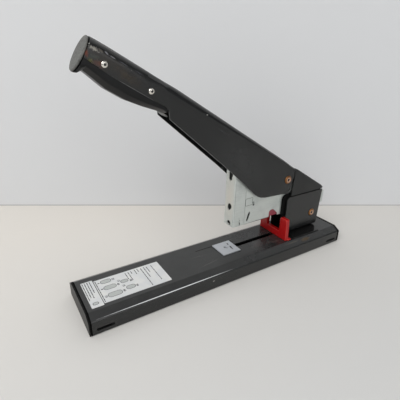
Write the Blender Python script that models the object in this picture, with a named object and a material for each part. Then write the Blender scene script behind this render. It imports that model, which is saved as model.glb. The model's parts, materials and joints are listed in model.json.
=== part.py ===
# Heavy-duty stapler with a sliding paper guide, at real size, in metres.
# +Z is up, the origin is under the middle of the base, and the nose and grip point to -X.
import math

import bmesh
import bpy
from mathutils import Matrix
from mathutils import Vector

# General clearances
FIT = 0.0003
OVERRUN = 0.0020
ROUND_SIDES = 24
BEND_STEPS = 4
FOLD_SHARE = 1.6

# Base channel
BASE_LENGTH = 0.2900
BASE_HALF_WIDTH = 0.0294
BASE_HEIGHT = 0.0178
BASE_SIDE_HEIGHT = 0.0136
BASE_CLEAR = 0.0008
BASE_SHEET = 0.0015
BASE_BEND = 0.0022
PLATEAU_HALF_WIDTH = 0.0221
FRONT_CAP_FACE = 0.0013
REAR_CAP_FACE = 0.0015
CAP_PLUG = 0.0200
BOTTOM_SHEET = 0.0010
BOTTOM_RISE = 0.0016
SIDE_SLOT_LENGTH = 0.0120
SIDE_SLOT_HEIGHT = 0.0015
SIDE_SLOT_RISE = 0.0050
SIDE_SLOT_INSET = 0.0070
FOOT_RADIUS = 0.0060
FOOT_EDGE = 0.0005
FOOT_FROM_END = 0.0340
FOOT_FROM_SIDE = 0.0110

# Frame stack on the base, and the lower hinge
HINGE_FROM_REAR = 0.0320
HINGE_HEIGHT = 0.0376
HINGE_PIN_RADIUS = 0.0030
HINGE_HEAD_RADIUS = 0.0047
RIVET_HEAD_HEIGHT = 0.0013
FOOT_PLATE_SHEET = 0.0012
FOOT_PLATE_LENGTH = 0.0420
FOOT_PLATE_HALF_WIDTH = 0.0218
FOOT_PLATE_CORNER = 0.0060
FOOT_PLATE_AHEAD = 0.0340
FRAME_SHEET = 0.0015
FRAME_HALF_WIDTH = 0.0111
FRAME_BEND = 0.0045
FRAME_TOP = 0.0633
FRAME_AHEAD = 0.0402
FRAME_BEHIND = 0.0128
FRAME_LEAN = 0.0026
FRAME_CHAMFER = 0.0030
BRACKET_SHEET = 0.0014
BRACKET_AHEAD = 0.0370
BRACKET_LOBE_AHEAD = 0.0455
BRACKET_LOBE_BOTTOM = 0.0440
BRACKET_LOBE_TOP = 0.0668
BRACKET_LOBE_RADIUS = 0.0050
BRACKET_STEP_RISE = 0.0030
BRACKET_EAR_AHEAD = 0.0315
BRACKET_BEHIND = 0.0040
MOUNT_RIVET_RADIUS = 0.0022
MOUNT_RIVET_HEAD_RADIUS = 0.0036
MOUNT_RIVET_HEAD_HEIGHT = 0.0012
MOUNT_RIVETS_AHEAD = (0.0200, 0.0040)

# Rear cover over the frame
COVER_SHEET = 0.0015
COVER_FRONT_AHEAD = 0.0334
COVER_FRONT_LEAN = 0.0019
COVER_REAR_BEHIND = 0.0124
COVER_BOTTOM = 0.0646
COVER_FRONT_TOP = 0.0953
COVER_REAR_TOP = 0.0675
COVER_EDGE = 0.0020
COVER_CORNER = 0.0030

# Magazine and nose of the head
HEAD_REACH = 0.1080
HEAD_HALF_WIDTH = 0.0076
HEAD_SHEET = 0.0008
HEAD_BOTTOM = 0.0450
NOSE_TOP = 0.1015
NOSE_DEPTH = 0.0136
NOSE_BEND = 0.0015
NOSE_NOTCH_WIDTH = 0.0045
NOSE_NOTCH_DEPTH = 0.0072
NOSE_OVAL_BOTTOM = 0.0615
NOSE_OVAL_TOP = 0.0677
NOSE_HOLE_HEIGHT = 0.0479
NOSE_HOLE_RADIUS = 0.0021
NOSE_SLIT_BACK = 0.0079
NOSE_SLIT_WIDTH = 0.0009
NOSE_SLIT_RISE = 0.0008
NOSE_SLIT_LENGTH = 0.0034
NOSE_DOT_BACK = 0.0074
NOSE_DOT_RISE = 0.0080
SMALL_HOLE_RADIUS = 0.0006
PLATE_HOLES_BACK = 0.0104
PLATE_HOLES_RISE = (0.0196, 0.0219)
WEB_TOP = 0.0590
WEB_SHEET = 0.0008
TAIL_BEHIND = 0.0200
PLATE_REAR_AHEAD = 0.0445
LUG_RADIUS = 0.0065
LUG_RISE = 0.0089
LUG_REAR_AHEAD = 0.0312
SPRING_TAB_SHEET = 0.0010
SPRING_TAB_HALF_LENGTH = 0.0070
STAPLE_WINDOW_AHEAD = 0.0616
STAPLE_WINDOW_LENGTH = 0.0122
STAPLE_WINDOW_HEIGHT = 0.0082
STAPLE_WINDOW_FALL = 0.0060
STAPLE_WINDOW_TOP_SHARE = 0.48
STAPLE_WINDOW_RADIUS = 0.0030
SIGHT_SLOT_WIDTH = 0.0022
SIGHT_SLOT_TOP_BACK = 0.0060
SIGHT_SLOT_BOTTOM_BACK = 0.0036
SIGHT_SLOT_TOP_DROP = 0.0022
SIGHT_SLOT_BOTTOM_RISE = 0.0042
RAIL_SHEET = 0.0008
STAPLE_CROWN = 0.0129
STAPLE_LEG = 0.0120
STAPLE_WIRE = 0.0006
STAPLE_STRIP_LENGTH = 0.0434
PLUG_LENGTH = 0.0064

# Upper pivot, drive arm and driver
PIVOT_AHEAD = 0.0435
PIVOT_HEIGHT = 0.0846
PIVOT_PIN_RADIUS = 0.0028
PIVOT_HEAD_RADIUS = 0.0045
ARM_HALF_WIDTH = 0.0052
ARM_SHEET = 0.0012
ARM_PIN_BEHIND_NOSE = 0.0070
ARM_PIN_BACK = 0.0025
ARM_PIN_RISE = 0.0144
ARM_NOSE_HALF_DEPTH = 0.0025
ARM_PAD_BACK = 0.0305
ARM_PAD_HALF_LENGTH = 0.0060
ARM_PAD_DROP = 0.0004
ARM_RING = 0.0065
ARM_CREST_RISE = 0.0234
ARM_CREST_AHEAD = 0.0195
ARM_CREST_LENGTH = 0.0080
ARM_CREST_FALL = 0.0025
ARM_CORNER = 0.0020
CROSSBAR_RADIUS = 0.0022
CROSSBAR_AHEAD = 0.0145
CROSSBAR_RISE = 0.0190
DRIVE_PIN_RADIUS = 0.0012
DRIVE_PIN_TRAVEL = 0.0018
BLADE_SHEET = 0.0008
BLADE_HALF_WIDTH = 0.0063
BLADE_BOTTOM = 0.0585
EAR_BACK = 0.0032
EAR_HALF_HEIGHT = 0.0040

# Handle channel, measured from the upper pivot
HANDLE_HALF_WIDTH = 0.0111
HANDLE_SHEET = 0.0015
HANDLE_FRONT_EDGE = 0.0085
HANDLE_REAR_EDGE = 0.0030
HANDLE_REACH = 0.1925
HANDLE_RISE = 0.1282
HANDLE_BACK = 0.0081
HANDLE_DROP = 0.0160

# Grip under the handle's front end
GRIP_CORE = 0.0078
GRIP_FLAT_SHARE = 0.45
INSERT_DEPTH = 0.0070
INSERT_FLANGE = 0.0014
INSERT_NECK_SHARE = 0.60
INSERT_DOME_SHARE = 0.95
INSERT_TOP_RISE = 0.0002
INSERT_HALF_WIDTH = 0.0106
INSERT_HALF_HEIGHT = 0.0122
INSERT_DOME = 0.0004
GRIP_RIVET_RADIUS = 0.0012
GRIP_RIVET_HEAD_RADIUS = 0.0022
GRIP_RIVET_HEAD_HEIGHT = 0.0010

# Anvil and the paper guide on the base
RECESS_AHEAD = 0.1390
RECESS_LENGTH = 0.0410
RECESS_DEPTH = 0.0004
ANVIL_LENGTH = 0.0210
ANVIL_HALF_WIDTH = 0.0105
ANVIL_SHEET = 0.0012
CLINCH_LENGTH = 0.0066
CLINCH_WIDTH = 0.0024
CLINCH_DEPTH = 0.0005
CLINCH_FROM_EDGE = 0.0058
GUIDE_SLOT_HALF_WIDTH = 0.0025
GUIDE_SLOT_LENGTH = 0.0580
GUIDE_SLOT_SPARE = 0.0010
GUIDE_SHEET = 0.0043
GUIDE_AHEAD = 0.0460
GUIDE_HALF_WIDTH = 0.0203
GUIDE_TOP_HALF_WIDTH = 0.0190
GUIDE_GAP_HALF_WIDTH = 0.0097
GUIDE_BAR_TOP = 0.0255
GUIDE_TOP = 0.0420
GUIDE_CORNER = 0.0015
GUIDE_TOE_LENGTH = 0.0030
GUIDE_TOE_SHEET = 0.0015
GUIDE_TOE_INNER = 0.0170
GUIDE_TOE_OUTER = 0.0215
CLAMP_LENGTH = 0.0100
CLAMP_SHEET = 0.0012
CLAMP_HALF_WIDTH = 0.0050

# Pusher
PUSHER_LENGTH = 0.0160
PUSHER_WALL = 0.0007

# Coil springs
SPRING_WIRE = 0.0012
SPRING_RADIUS = 0.0042
SPRING_POINTS = 10
HEAD_SPRING_AHEAD = 0.0300
HEAD_SPRING_TURNS = 6
HANDLE_SPRING_TURNS = 8

# Places worked out from the sizes above
FRONT_END = -BASE_LENGTH / 2
REAR_END = BASE_LENGTH / 2
HINGE_X = REAR_END - HINGE_FROM_REAR
PIVOT_X = HINGE_X - PIVOT_AHEAD
NOSE_X = HINGE_X - HEAD_REACH
TAIL_X = HINGE_X + TAIL_BEHIND
LUG_TOP = PIVOT_HEIGHT + LUG_RISE
SHELL_FRONT = FRONT_END + FRONT_CAP_FACE
SHELL_REAR = REAR_END - REAR_CAP_FACE
FOOT_PLATE_BOTTOM = BASE_HEIGHT + FIT
FRAME_BOTTOM = FOOT_PLATE_BOTTOM + FOOT_PLATE_SHEET + FIT
BRACKET_BOTTOM = FRAME_BOTTOM + FRAME_SHEET + FIT
BRACKET_FLOOR = BRACKET_BOTTOM + BRACKET_SHEET
FRAME_INNER = FRAME_HALF_WIDTH - FRAME_SHEET
BRACKET_HALF_WIDTH = FRAME_INNER - FIT
HEAD_INNER = HEAD_HALF_WIDTH - HEAD_SHEET
CHANNEL_HALF_WIDTH = HEAD_INNER - FIT
WEB_BOTTOM = WEB_TOP - WEB_SHEET
BLADE_X = NOSE_X + HEAD_SHEET + FIT
CHANNEL_FRONT = BLADE_X + BLADE_SHEET + FIT
STAPLE_TOP = WEB_BOTTOM - FIT
STAPLE_HALF_CROWN = STAPLE_CROWN / 2
RAIL_HALF_WIDTH = STAPLE_HALF_CROWN - STAPLE_WIRE - FIT
RAIL_TOP = STAPLE_TOP - STAPLE_WIRE - FIT
CHANNEL_BOTTOM = HEAD_BOTTOM + FIT
PUSHER_X = CHANNEL_FRONT + STAPLE_STRIP_LENGTH + FIT
PLUG_X = TAIL_X - PLUG_LENGTH
DRIVE_PIN_X = NOSE_X + ARM_PIN_BEHIND_NOSE
DRIVE_PIN_Z = PIVOT_HEIGHT + ARM_PIN_RISE
CROSSBAR_X = PIVOT_X - CROSSBAR_AHEAD
CROSSBAR_Z = PIVOT_HEIGHT + CROSSBAR_RISE
RECESS_X = HINGE_X - RECESS_AHEAD
ANVIL_X = RECESS_X + RECESS_LENGTH - ANVIL_LENGTH
ANVIL_BOTTOM = BASE_HEIGHT - RECESS_DEPTH + FIT
ANVIL_TOP = ANVIL_BOTTOM + ANVIL_SHEET
GUIDE_X = HINGE_X - GUIDE_AHEAD
HANDLE_INNER = HANDLE_HALF_WIDTH - HANDLE_SHEET
TOP_SKIN = HANDLE_SHEET / math.cos(math.atan2(HANDLE_RISE, HANDLE_REACH))

# Handle stations from front to rear, each a point of the top edge and a point of the lower edge.
# Places ahead of the pivot are shares of the reach and heights are shares of the rise.
HANDLE_STATION_SHARES = (
    (0.958, 0.994, 0.994, 0.901),
    (0.932, 0.975, 0.953, 0.858),
    (0.902, 0.951, 0.913, 0.814),
    (0.835, 0.892, 0.844, 0.753),
    (0.771, 0.837, 0.770, 0.690),
    (0.730, 0.800, 0.710, 0.641),
    (0.714, 0.787, 0.693, 0.619),
    (0.704, 0.778, 0.690, 0.593),
    (0.688, 0.765, 0.688, 0.564),
    (0.641, 0.726, 0.646, 0.509),
    (0.500, 0.595, 0.500, 0.321),
    (0.385, 0.488, 0.385, 0.170),
    (0.290, 0.400, 0.290, 0.040),
    (0.256, 0.368, 0.256, -0.010),
    (0.220, 0.334, 0.220, -0.061),
    (0.200, 0.316, 0.200, -0.083),
    (0.178, 0.296, 0.178, -0.098),
    (0.148, 0.268, 0.148, -0.107),
    (0.039, 0.167, 0.039, -0.115),
)
# The rear edge curves up round the pivot: shares of the back length, then of the rise or the drop.
HANDLE_REAR_SHARES = (
    (-0.15, 0.133, 0.28, -1.00),
    (0.30, 0.114, 0.52, -0.78),
    (0.62, 0.101, 0.66, -0.36),
    (0.86, 0.091, 0.94, -0.12),
    (1.00, 0.085, 1.00, 0.20),
)
# Underside of the grip, below the lower edge of the handle's front stations.
GRIP_STATION_SHARES = (
    (0.994, 0.901, 1.021, 0.830),
    (0.988, 0.894, 1.013, 0.828),
    (0.978, 0.884, 0.995, 0.840),
    (0.956, 0.860, 0.974, 0.814),
    (0.913, 0.814, 0.924, 0.747),
    (0.844, 0.753, 0.853, 0.682),
    (0.770, 0.690, 0.788, 0.642),
    (0.712, 0.643, 0.722, 0.608),
    (0.698, 0.622, 0.703, 0.594),
)
GRIP_RIVET_SHARES = ((0.928, 0.868), (0.763, 0.728))


def make_material(name, colour, roughness, metallic):
    material = bpy.data.materials.new(name)
    material.use_nodes = True
    shader = material.node_tree.nodes["Principled BSDF"]
    shader.inputs["Base Color"].default_value = (*colour, 1.0)
    shader.inputs["Roughness"].default_value = roughness
    shader.inputs["Metallic"].default_value = metallic
    return material


def make_materials():
    looks = {
        "dark_paint": ((0.055, 0.055, 0.056), 0.42, 0.15),
        "black_paint": ((0.012, 0.012, 0.013), 0.45, 0.10),
        "plated_steel": ((0.42, 0.43, 0.43), 0.34, 0.90),
        "bright_steel": ((0.55, 0.56, 0.57), 0.25, 1.00),
        "spring_steel": ((0.33, 0.33, 0.34), 0.30, 1.00),
        "brass_plate": ((0.42, 0.30, 0.16), 0.35, 0.90),
        "red_plastic": ((0.30, 0.010, 0.014), 0.40, 0.00),
        "black_plastic": ((0.016, 0.016, 0.017), 0.50, 0.00),
        "grey_plastic": ((0.24, 0.24, 0.22), 0.48, 0.00),
        "cover_plastic": ((0.032, 0.033, 0.032), 0.50, 0.00),
        "rubber": ((0.020, 0.020, 0.020), 0.85, 0.00),
    }
    return {name: make_material(name, *look) for name, look in looks.items()}


def make_pivot(name, place):
    empty = bpy.data.objects.new(name, None)
    empty.location = place
    bpy.context.scene.collection.objects.link(empty)
    return empty


def make_object(name, mesh, material=None, pivot=None):
    thing = bpy.data.objects.new(name, mesh)
    bpy.context.scene.collection.objects.link(thing)
    if material:
        mesh.materials.append(material)
        mesh.shade_smooth()
        mesh.set_sharp_from_angle(angle=math.radians(32))
    if pivot:
        thing.parent = pivot
        thing.matrix_parent_inverse = Matrix.Translation(-pivot.location)
    return thing


def make_piece(name, shape, material=None, pivot=None):
    bmesh.ops.recalc_face_normals(shape, faces=shape.faces)
    mesh = bpy.data.meshes.new(name)
    shape.to_mesh(mesh)
    shape.free()
    return make_object(name, mesh, material, pivot)


def combine(piece, shape, operation, label):
    # A helper solid that a Boolean takes from, adds to, or keeps of a piece.
    helper = make_piece(f"{piece.name}_{label}", shape)
    helper.hide_render = True
    helper.display_type = "WIRE"
    boolean = piece.modifiers.new(label, "BOOLEAN")
    boolean.operation = operation
    boolean.object = helper
    boolean.solver = "EXACT"


def cut(piece, shape, label):
    combine(piece, shape, "DIFFERENCE", label)


def add(piece, shape, label):
    combine(piece, shape, "UNION", label)


def keep(piece, shape, label):
    combine(piece, shape, "INTERSECT", label)


def place_on(axis, along, first, second):
    if axis == "X":
        return Vector((along, first, second))
    if axis == "Y":
        return Vector((first, along, second))
    return Vector((first, second, along))


def prism(outline, axis, low, high, shape=None):
    # A closed outline in the plane across an axis, extruded from low to high along it.
    shape = shape or bmesh.new()
    corners = [shape.verts.new(place_on(axis, low, *point)) for point in outline]
    face = shape.faces.new(corners)
    grown = bmesh.ops.extrude_face_region(shape, geom=[face])["geom"]
    moved = [item for item in grown if isinstance(item, bmesh.types.BMVert)]
    bmesh.ops.translate(shape, verts=moved, vec=place_on(axis, high - low, 0.0, 0.0))
    return shape


def pair_of_prisms(outline, inner, outer):
    # Two mirrored plates either side of the middle plane.
    shape = prism(outline, "Y", inner, outer)
    return prism(outline, "Y", -outer, -inner, shape)


def box_outline(low_first, high_first, low_second, high_second):
    return [
        (low_first, low_second),
        (high_first, low_second),
        (high_first, high_second),
        (low_first, high_second),
    ]


def arc(centre, radius, start_degrees, end_degrees, steps):
    points = []
    for step in range(steps + 1):
        angle = math.radians(start_degrees + (end_degrees - start_degrees) * step / steps)
        first = centre[0] + radius * math.cos(angle)
        second = centre[1] + radius * math.sin(angle)
        points.append((first, second))
    return points


def circle(centre, radius, sides=ROUND_SIDES):
    return arc(centre, radius, 0, 360, sides)[:-1]


def round_corner(before, corner, after, radius, steps=BEND_STEPS):
    to_before = Vector(before) - Vector(corner)
    to_after = Vector(after) - Vector(corner)
    half_angle = to_before.angle(to_after) / 2
    longest = min(to_before.length, to_after.length) * 0.49
    reach = min(radius / math.tan(half_angle), longest)
    radius = reach * math.tan(half_angle)
    inward = (to_before.normalized() + to_after.normalized()).normalized()
    centre = Vector(corner) + inward * (radius / math.sin(half_angle))
    start = Vector(corner) + to_before.normalized() * reach - centre
    sweep = (math.pi - 2 * half_angle) * math.copysign(1, start.cross(inward * -1))
    points = []
    for step in range(steps + 1):
        turned = Matrix.Rotation(sweep * step / steps, 2) @ start
        points.append(tuple(centre + turned))
    return points


def rounded(corners, closed=True):
    # Corners are (first, second, radius); a radius of zero keeps the corner sharp.
    points = []
    count = len(corners)
    for index, (first, second, radius) in enumerate(corners):
        at_end = not closed and index in (0, count - 1)
        if radius == 0 or at_end:
            points.append((first, second))
            continue
        before = corners[index - 1][:2]
        after = corners[(index + 1) % count][:2]
        points += round_corner(before, (first, second), after, radius)
    return points


def channel_outline(path, wall):
    # The closed outline of a bent sheet: the outer path, then the same path one wall further in.
    inner = []
    for index, point in enumerate(path):
        here = Vector(point)
        before = Vector(path[max(index - 1, 0)])
        after = Vector(path[min(index + 1, len(path) - 1)])
        first_way = (here - before).normalized() if index else (after - here).normalized()
        second_way = (after - here).normalized() if index < len(path) - 1 else first_way
        first_normal = Vector((first_way.y, -first_way.x))
        second_normal = Vector((second_way.y, -second_way.x))
        middle = (first_normal + second_normal).normalized()
        inner.append(tuple(here + middle * (wall / middle.dot(first_normal))))
    return list(path) + inner[::-1]


def slot_outline(start, end, width):
    # A slot with round ends between two centres.
    way = Vector(end) - Vector(start)
    heading = math.degrees(math.atan2(way.y, way.x))
    far_end = arc(end, width / 2, heading - 90, heading + 90, 2 * BEND_STEPS)
    near_end = arc(start, width / 2, heading + 90, heading + 270, 2 * BEND_STEPS)
    return far_end + near_end


def turned(profile, centre, axis, sides=ROUND_SIDES):
    # A profile of (radius, along) points turned round an axis through the centre.
    shape = bmesh.new()
    centre = Vector(centre)
    path = [shape.verts.new(centre + place_on(axis, along, radius, 0.0)) for radius, along in profile]
    edges = [shape.edges.new(pair) for pair in zip(path, path[1:])]
    bmesh.ops.spin(
        shape,
        geom=path + edges,
        cent=centre,
        axis=place_on(axis, 1, 0.0, 0.0),
        angle=math.tau,
        steps=sides,
        use_merge=True,
    )
    bmesh.ops.remove_doubles(shape, verts=shape.verts, dist=FIT / 100)
    return shape


def cylinder(centre, radius, axis, low, high, sides=ROUND_SIDES):
    return turned([(0.0, low), (radius, low), (radius, high), (0.0, high)], centre, axis, sides)


def rivet_profile(pin_radius, head_radius, head_height, low, high):
    # A pin from low to high with a domed head outside each end.
    dome = []
    for step in range(BEND_STEPS + 1):
        angle = math.pi / 2 * step / BEND_STEPS
        dome.append((head_radius * math.sin(angle), head_height * math.cos(angle)))
    bottom = [(radius, low - rise) for radius, rise in dome]
    top = [(radius, high + rise) for radius, rise in reversed(dome)]
    return bottom + [(pin_radius, low), (pin_radius, high)] + top


def coil_spring(name, material, pivot, place, height, turns):
    # One unbroken tube; its ends run straight for one wire thickness.
    climb = height - 2 * SPRING_WIRE
    points = [(SPRING_RADIUS, 0.0, 0.0)]
    for step in range(turns * SPRING_POINTS + 1):
        angle = math.tau * step / SPRING_POINTS
        rise = SPRING_WIRE + climb * step / (turns * SPRING_POINTS)
        points.append((SPRING_RADIUS * math.cos(angle), SPRING_RADIUS * math.sin(angle), rise))
    points.append((points[-1][0], points[-1][1], height))
    curve = bpy.data.curves.new(name, "CURVE")
    curve.dimensions = "3D"
    curve.bevel_depth = SPRING_WIRE / 2
    curve.bevel_resolution = 1
    curve.use_fill_caps = True
    spline = curve.splines.new("POLY")
    spline.points.add(len(points) - 1)
    for index, point in enumerate(points):
        spline.points[index].co = (*(Vector(place) + Vector(point)), 1)
    curve.materials.append(material)
    thing = bpy.data.objects.new(name, curve)
    bpy.context.scene.collection.objects.link(thing)
    if pivot:
        thing.parent = pivot
        thing.matrix_parent_inverse = Matrix.Translation(-pivot.location)
    print(name, "least gap to itself", round(least_gap(points), 5))
    return thing


def least_gap(points):
    # Distance between centre lines at least half a turn apart, less one wire thickness.
    apart = SPRING_POINTS // 2 + 1
    vectors = [Vector(point) for point in points]
    gaps = []
    for index, first in enumerate(vectors):
        gaps += [(first - second).length for second in vectors[index + apart:]]
    return min(gaps) - SPRING_WIRE


def base_section(low, spare):
    # Outer section of the base across its length, drawn in by a spare distance.
    slope = math.atan2(BASE_HEIGHT - BASE_SIDE_HEIGHT, BASE_HALF_WIDTH - PLATEAU_HALF_WIDTH)
    side = BASE_HALF_WIDTH - spare
    shoulder = BASE_SIDE_HEIGHT - spare * math.tan((math.pi / 2 - slope) / 2)
    plateau = PLATEAU_HALF_WIDTH - spare * math.tan(slope / 2)
    top = BASE_HEIGHT - spare
    bend = max(BASE_BEND - spare, BASE_BEND / 4)
    corners = [
        (-side, low, 0),
        (-side, shoulder, bend),
        (-plateau, top, bend),
        (plateau, top, bend),
        (side, shoulder, bend),
        (side, low, 0),
    ]
    return rounded(corners, closed=False)


def make_base_shell(looks):
    path = base_section(BASE_CLEAR, 0.0)
    outline = channel_outline(path, BASE_SHEET)
    shell = make_piece("base_shell", prism(outline, "X", SHELL_FRONT, SHELL_REAR), looks["dark_paint"])
    recess = box_outline(RECESS_X, RECESS_X + RECESS_LENGTH, -ANVIL_HALF_WIDTH - FIT, ANVIL_HALF_WIDTH + FIT)
    cut(shell, prism(recess, "Z", BASE_HEIGHT - RECESS_DEPTH, BASE_HEIGHT + OVERRUN), "recess")
    slot_end = GUIDE_X + GUIDE_SHEET / 2 + CLAMP_LENGTH / 2 + GUIDE_SLOT_SPARE
    slot = slot_outline((slot_end - GUIDE_SLOT_LENGTH, 0.0), (slot_end, 0.0), 2 * GUIDE_SLOT_HALF_WIDTH)
    slot_low = BASE_HEIGHT - BASE_SHEET - OVERRUN
    cut(shell, prism(slot, "Z", slot_low, BASE_HEIGHT + OVERRUN), "guide_slot")
    reach = BASE_HALF_WIDTH + OVERRUN
    for label, start in (("front", FRONT_END + SIDE_SLOT_INSET), ("rear", REAR_END - SIDE_SLOT_INSET)):
        way = SIDE_SLOT_LENGTH if label == "front" else -SIDE_SLOT_LENGTH
        opening = slot_outline((start, SIDE_SLOT_RISE), (start + way, SIDE_SLOT_RISE), SIDE_SLOT_HEIGHT)
        inner = BASE_HALF_WIDTH - BASE_SHEET - OVERRUN
        cut(shell, pair_of_prisms(opening, inner, reach), f"side_slots_{label}")
    drill_mount_holes(shell, slot_low, BASE_HEIGHT + OVERRUN)
    return shell


def drill_mount_holes(piece, low, high):
    for number, ahead in enumerate(MOUNT_RIVETS_AHEAD):
        hole = cylinder((HINGE_X - ahead, 0.0, 0.0), MOUNT_RIVET_RADIUS + FIT, "Z", low, high)
        cut(piece, hole, f"mount_hole_{number}")


def make_end_cap(name, looks, face_start, face_end, plug_end):
    # A moulded cap: the face closes the channel's section and the plug fills its mouth.
    face = prism(base_section(BASE_CLEAR, 0.0), "X", face_start, face_end)
    cap = make_piece(name, face, looks["black_plastic"])
    toward = math.copysign(FIT, face_start - face_end)
    plug = prism(base_section(BASE_CLEAR + FIT, BASE_SHEET + FIT), "X", face_end + toward, plug_end)
    add(cap, plug, "plug")
    return cap


def make_end_caps(looks):
    front_plug = SHELL_FRONT + CAP_PLUG
    rear_plug = SHELL_REAR - CAP_PLUG
    make_end_cap("front_end_cap", looks, FRONT_END, SHELL_FRONT - FIT, front_plug)
    make_end_cap("rear_end_cap", looks, REAR_END, SHELL_REAR + FIT, rear_plug)


def make_bottom_plate(looks):
    half_width = BASE_HALF_WIDTH - BASE_SHEET - FIT
    outline = box_outline(SHELL_FRONT + CAP_PLUG + FIT, SHELL_REAR - CAP_PLUG - FIT, -half_width, half_width)
    plate = prism(outline, "Z", BOTTOM_RISE, BOTTOM_RISE + BOTTOM_SHEET)
    return make_piece("base_bottom_plate", plate, looks["black_paint"])


def make_feet(looks):
    top = BOTTOM_RISE - FIT
    profile = [
        (0.0, 0.0),
        (FOOT_RADIUS - FOOT_EDGE, 0.0),
        (FOOT_RADIUS, FOOT_EDGE),
        (FOOT_RADIUS, top),
        (0.0, top),
    ]
    for end, end_name in ((FRONT_END + FOOT_FROM_END, "front"), (REAR_END - FOOT_FROM_END, "rear")):
        for side, side_name in ((-1, "near"), (1, "far")):
            across = side * (BASE_HALF_WIDTH - FOOT_FROM_SIDE)
            foot = turned(profile, (end, across, 0.0), "Z")
            make_piece(f"foot_{end_name}_{side_name}", foot, looks["rubber"])


def make_foot_plate(looks):
    front = HINGE_X - FOOT_PLATE_AHEAD
    rear = front + FOOT_PLATE_LENGTH
    corners = [
        (front, -FOOT_PLATE_HALF_WIDTH, FOOT_PLATE_CORNER / 4),
        (rear, -FOOT_PLATE_HALF_WIDTH, FOOT_PLATE_CORNER),
        (rear, FOOT_PLATE_HALF_WIDTH, FOOT_PLATE_CORNER),
        (front, FOOT_PLATE_HALF_WIDTH, FOOT_PLATE_CORNER / 4),
    ]
    top = FOOT_PLATE_BOTTOM + FOOT_PLATE_SHEET
    plate = make_piece("foot_plate", prism(rounded(corners), "Z", FOOT_PLATE_BOTTOM, top), looks["black_paint"])
    drill_mount_holes(plate, FOOT_PLATE_BOTTOM - OVERRUN, top + OVERRUN)
    return plate


def upright_channel(half_width, bottom, top, bend, wall):
    # Section of a channel whose floor is down and whose two sides stand up.
    corners = [
        (half_width, top, 0),
        (half_width, bottom, bend),
        (-half_width, bottom, bend),
        (-half_width, top, 0),
    ]
    return channel_outline(rounded(corners, closed=False), wall)


def lying_channel(half_width, bottom, top, wall):
    # Section of a channel whose web is up and whose two sides hang down.
    bend = wall * FOLD_SHARE
    corners = [
        (-half_width, bottom, 0),
        (-half_width, top, bend),
        (half_width, top, bend),
        (half_width, bottom, 0),
    ]
    return channel_outline(rounded(corners, closed=False), wall)


def make_rear_frame(looks):
    front = HINGE_X - FRAME_AHEAD
    rear = HINGE_X + FRAME_BEHIND
    section = upright_channel(FRAME_HALF_WIDTH, FRAME_BOTTOM, FRAME_TOP, FRAME_BEND, FRAME_SHEET)
    frame = make_piece("rear_frame", prism(section, "X", front - OVERRUN, rear + OVERRUN), looks["dark_paint"])
    side = [
        (front + FRAME_LEAN / 2, FRAME_BOTTOM - OVERRUN),
        (rear - FRAME_LEAN, FRAME_BOTTOM - OVERRUN),
        (rear, FRAME_TOP + OVERRUN),
        (front + FRAME_LEAN + FRAME_CHAMFER, FRAME_TOP + OVERRUN),
        (front + FRAME_LEAN, FRAME_TOP),
        (front, FRAME_TOP - FRAME_CHAMFER),
    ]
    reach = FRAME_HALF_WIDTH + OVERRUN
    keep(frame, prism(side, "Y", -reach, reach), "side_profile")
    drill_hinge_hole(frame, reach)
    drill_mount_holes(frame, FRAME_BOTTOM - OVERRUN, FRAME_BOTTOM + FRAME_SHEET + OVERRUN)
    return frame


def drill_hinge_hole(piece, reach):
    place = (HINGE_X, 0.0, HINGE_HEIGHT)
    cut(piece, cylinder(place, HINGE_PIN_RADIUS + FIT, "Y", -reach, reach), "hinge_hole")


def cover_ceiling(x, depth):
    # Height of the cover's sloping top at a place along it, less a depth square to the slope.
    front = HINGE_X - COVER_FRONT_AHEAD
    rear = HINGE_X + COVER_REAR_BEHIND
    slope = math.atan2(COVER_FRONT_TOP - COVER_REAR_TOP, rear - front)
    return COVER_FRONT_TOP - (x - front) * math.tan(slope) - depth / math.cos(slope)


def make_guide_bracket(looks):
    # The inner channel that guides the head: a lower leg, a forward lobe and ears under the cover.
    rear = HINGE_X + BRACKET_BEHIND
    lobe = HINGE_X - BRACKET_LOBE_AHEAD
    leg = HINGE_X - BRACKET_AHEAD
    ear = HINGE_X - BRACKET_EAR_AHEAD
    depth = COVER_SHEET + FIT
    bend = FRAME_BEND - FRAME_SHEET - FIT
    section = upright_channel(BRACKET_HALF_WIDTH, BRACKET_BOTTOM, COVER_FRONT_TOP, bend, BRACKET_SHEET)
    bracket = make_piece("guide_bracket", prism(section, "X", lobe - OVERRUN, rear + OVERRUN), looks["black_paint"])
    corners = [
        (leg, BRACKET_BOTTOM - OVERRUN, 0),
        (rear, BRACKET_BOTTOM - OVERRUN, 0),
        (rear, cover_ceiling(rear, depth), BRACKET_LOBE_RADIUS / 2),
        (ear, cover_ceiling(ear, depth), BRACKET_LOBE_RADIUS / 2),
        (ear, BRACKET_LOBE_TOP, BRACKET_LOBE_RADIUS / 2),
        (lobe, BRACKET_LOBE_TOP, BRACKET_LOBE_RADIUS),
        (lobe, BRACKET_LOBE_BOTTOM, BRACKET_LOBE_RADIUS / 2),
        (leg, BRACKET_LOBE_BOTTOM - BRACKET_STEP_RISE, BRACKET_LOBE_RADIUS / 2),
    ]
    reach = BRACKET_HALF_WIDTH + OVERRUN
    keep(bracket, prism(rounded(corners), "Y", -reach, reach), "side_profile")
    drill_hinge_hole(bracket, reach)
    drill_mount_holes(bracket, BRACKET_BOTTOM - OVERRUN, BRACKET_FLOOR + OVERRUN)
    return bracket


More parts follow.
